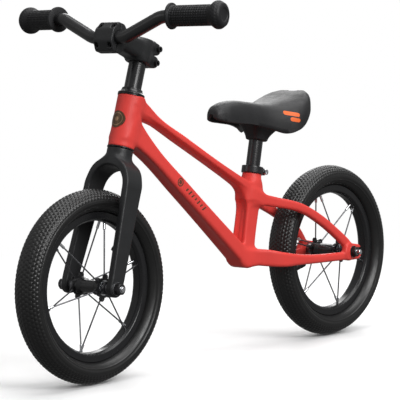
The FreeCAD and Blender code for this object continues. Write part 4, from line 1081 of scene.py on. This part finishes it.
def makeSaddle():
    t = np.linspace(0, 1, saddleSet["along"])[:, None]
    u = np.linspace(0, 1, saddleSet["around"])[None, :]
    outer = saddleSkinPoints(t, u, 0.0)
    inner = saddleSkinPoints(t, u[:, ::-1], saddleSet["wall"])
    # the lower edge is rounded by a point between the two skins
    edge = (outer[:, -1] + inner[:, 0]) / 2 - vec(0, 0, 1.3)
    otherEdge = (outer[:, 0] + inner[:, -1]) / 2 - vec(0, 0, 1.3)
    points = np.concatenate([outer, edge[:, None], inner, otherEdge[:, None]], 1)
    cushion = makePiece("saddleCushion", [gridShell(points, closed=False)], saddleSkin, "seat",
                        ["saddle_cushion"], sharp=60)


def printSaddle():
    # a long rounded bar over a short one on each flank of the tail
    tree = saddleSkin.node_tree
    mask = None
    for half, ahead, lift in ((9.0, 0.0, 4.5), (4.5, -4.0, -5.0)):
        centre = postTop + vec(-24 + ahead, 0, 15.0 + lift)
        along, across, height = localAxes(tree, centre, unitOf((1, 0, 0.22)), unitOf((-0.22, 0, 1)))
        beyond = calculate(tree, "SUBTRACT", calculate(tree, "ABSOLUTE", along), half)
        length = calculate(tree, "MAXIMUM", beyond, 0.0)
        far = farFrom(tree, length, across)
        bar = calculate(tree, "MULTIPLY", calculate(tree, "LESS_THAN", far, 3.2),
                        calculate(tree, "GREATER_THAN", height, 0.040))
        mask = bar if mask is None else calculate(tree, "MAXIMUM", mask, bar)
    printOn(saddleSkin, mask, (0.80, 0.13, 0.015), 0.45)


def makeSaddleBase():
    def neck(x, y, z):
        s = (x - junction[0]) * seatUp[0] + (z - junction[2]) * seatUp[2]
        ahead = (x - junction[0]) * seatAhead[0] + (z - junction[2]) * seatAhead[2]
        wide = curve(s, [188, 194, 202, 212, 224], [14.6, 15.6, 17.8, 22.0, 26.0])
        deep = curve(s, [188, 194, 202, 212, 224], [15.0, 16.6, 22.0, 31.0, 40.0])
        body = softMax(np.abs(y) - wide, np.abs(ahead + 1) - deep, 12.0)
        return softMax(body, np.maximum(188.2 - s, s - 226), 2.5)

    def plate(x, y, z):
        along = x - postTop[0]
        wide, top, low = saddleSection(along, 0.0)
        height = z - postTop[2] - low - 11.0
        body = softMax(np.abs(height) - 2.0, np.abs(y) - wide + 8.0, 2.0)
        return softMax(body, np.abs(along - 12) - 50, 3.0)

    def over(x, y, z):
        wide, top, low = saddleSection(x - postTop[0], 0.0)
        return postTop[2] + low + 13.0 - z + 0 * y

    low, high = spanOf([postTop + vec(-42, -50, -28), postTop + vec(66, 50, 24)])
    whole = {"low": low, "high": high}
    parts = [{"shape": neck, **whole}, {"shape": plate, "reach": 5.0, **whole},
             {"shape": over, "cut": True, "reach": 1.5, **whole}]
    makePiece("saddleBase", [castShell(parts, low, high, 1.3)], blackPlastic, "seat",
              ["saddle_base"], sharp=50)


nodeFinishes = {
    "head_badge": bronze, "headset_upper_outer_race": blackSteel, "headset_lower_outer_race": blackSteel,
    "headset_upper_inner_race": darkSteel, "headset_lower_inner_race": darkSteel,
    "headset_upper_balls": brightSteel, "headset_lower_balls": brightSteel, "seat_clamp_bolt": brightSteel,
    "seat_clamp_nut": brightSteel, "steerer_cap": blackPlastic, "faceplate_bolts": blackSteel,
    "steerer_clamp_bolts": blackSteel, "saddle_screws": darkSteel,
}
wheelFinishes = {
    "inner_tube": gripRubber, "spokes": darkSteel, "spoke_nipples": brightSteel, "hub_shell": glossBlack,
    "bearing_outer_races": brightSteel, "bearing_balls": brightSteel, "bearing_inner_races": brightSteel,
    "valve_stem": gripRubber, "valve_cap": blackPlastic, "axle": brightSteel, "axle_spacers": darkSteel,
    "axle_washers": brightSteel, "axle_nuts": blackSteel,
}


def printBadge():
    # a raised ring and a round boss, drawn about the badge's own middle
    tree = bronze.node_tree
    centre = middleOf("head_badge")
    along, across, height = localAxes(tree, centre, steerUp, sideways)
    far = farFrom(tree, along, across)
    mask = calculate(tree, "MAXIMUM", within(tree, far, 8.6, 9.6), calculate(tree, "LESS_THAN", far, 3.2))
    printOn(bronze, mask, (0.36, 0.22, 0.13), 0.3)


def finishNodes():
    for end in ("front_", "rear_"):
        for piece, material in wheelFinishes.items():
            nodeFinishes[end + piece] = material
    for name, material in nodeFinishes.items():
        item = frame["nodes"][name]
        if not item.material_slots:
            item.data.materials.append(material)
        for slot in item.material_slots:
            slot.material = material


makeCamera()
makeLights()
makeSurround()
makeFloor(paleFloor)
print("camera, lights and floor stand")
makeFrame()
printFrame()
makeFork()
makeStem()
makeHandlebar()
makeGrips()
makeTurnedParts()
makeCollar()
makeWheels()
makeSaddle()
printSaddle()
makeSaddleBase()
printBadge()
finishNodes()
print("pieces and finishes done")
bpy.context.scene.view_settings.view_transform = "Standard"
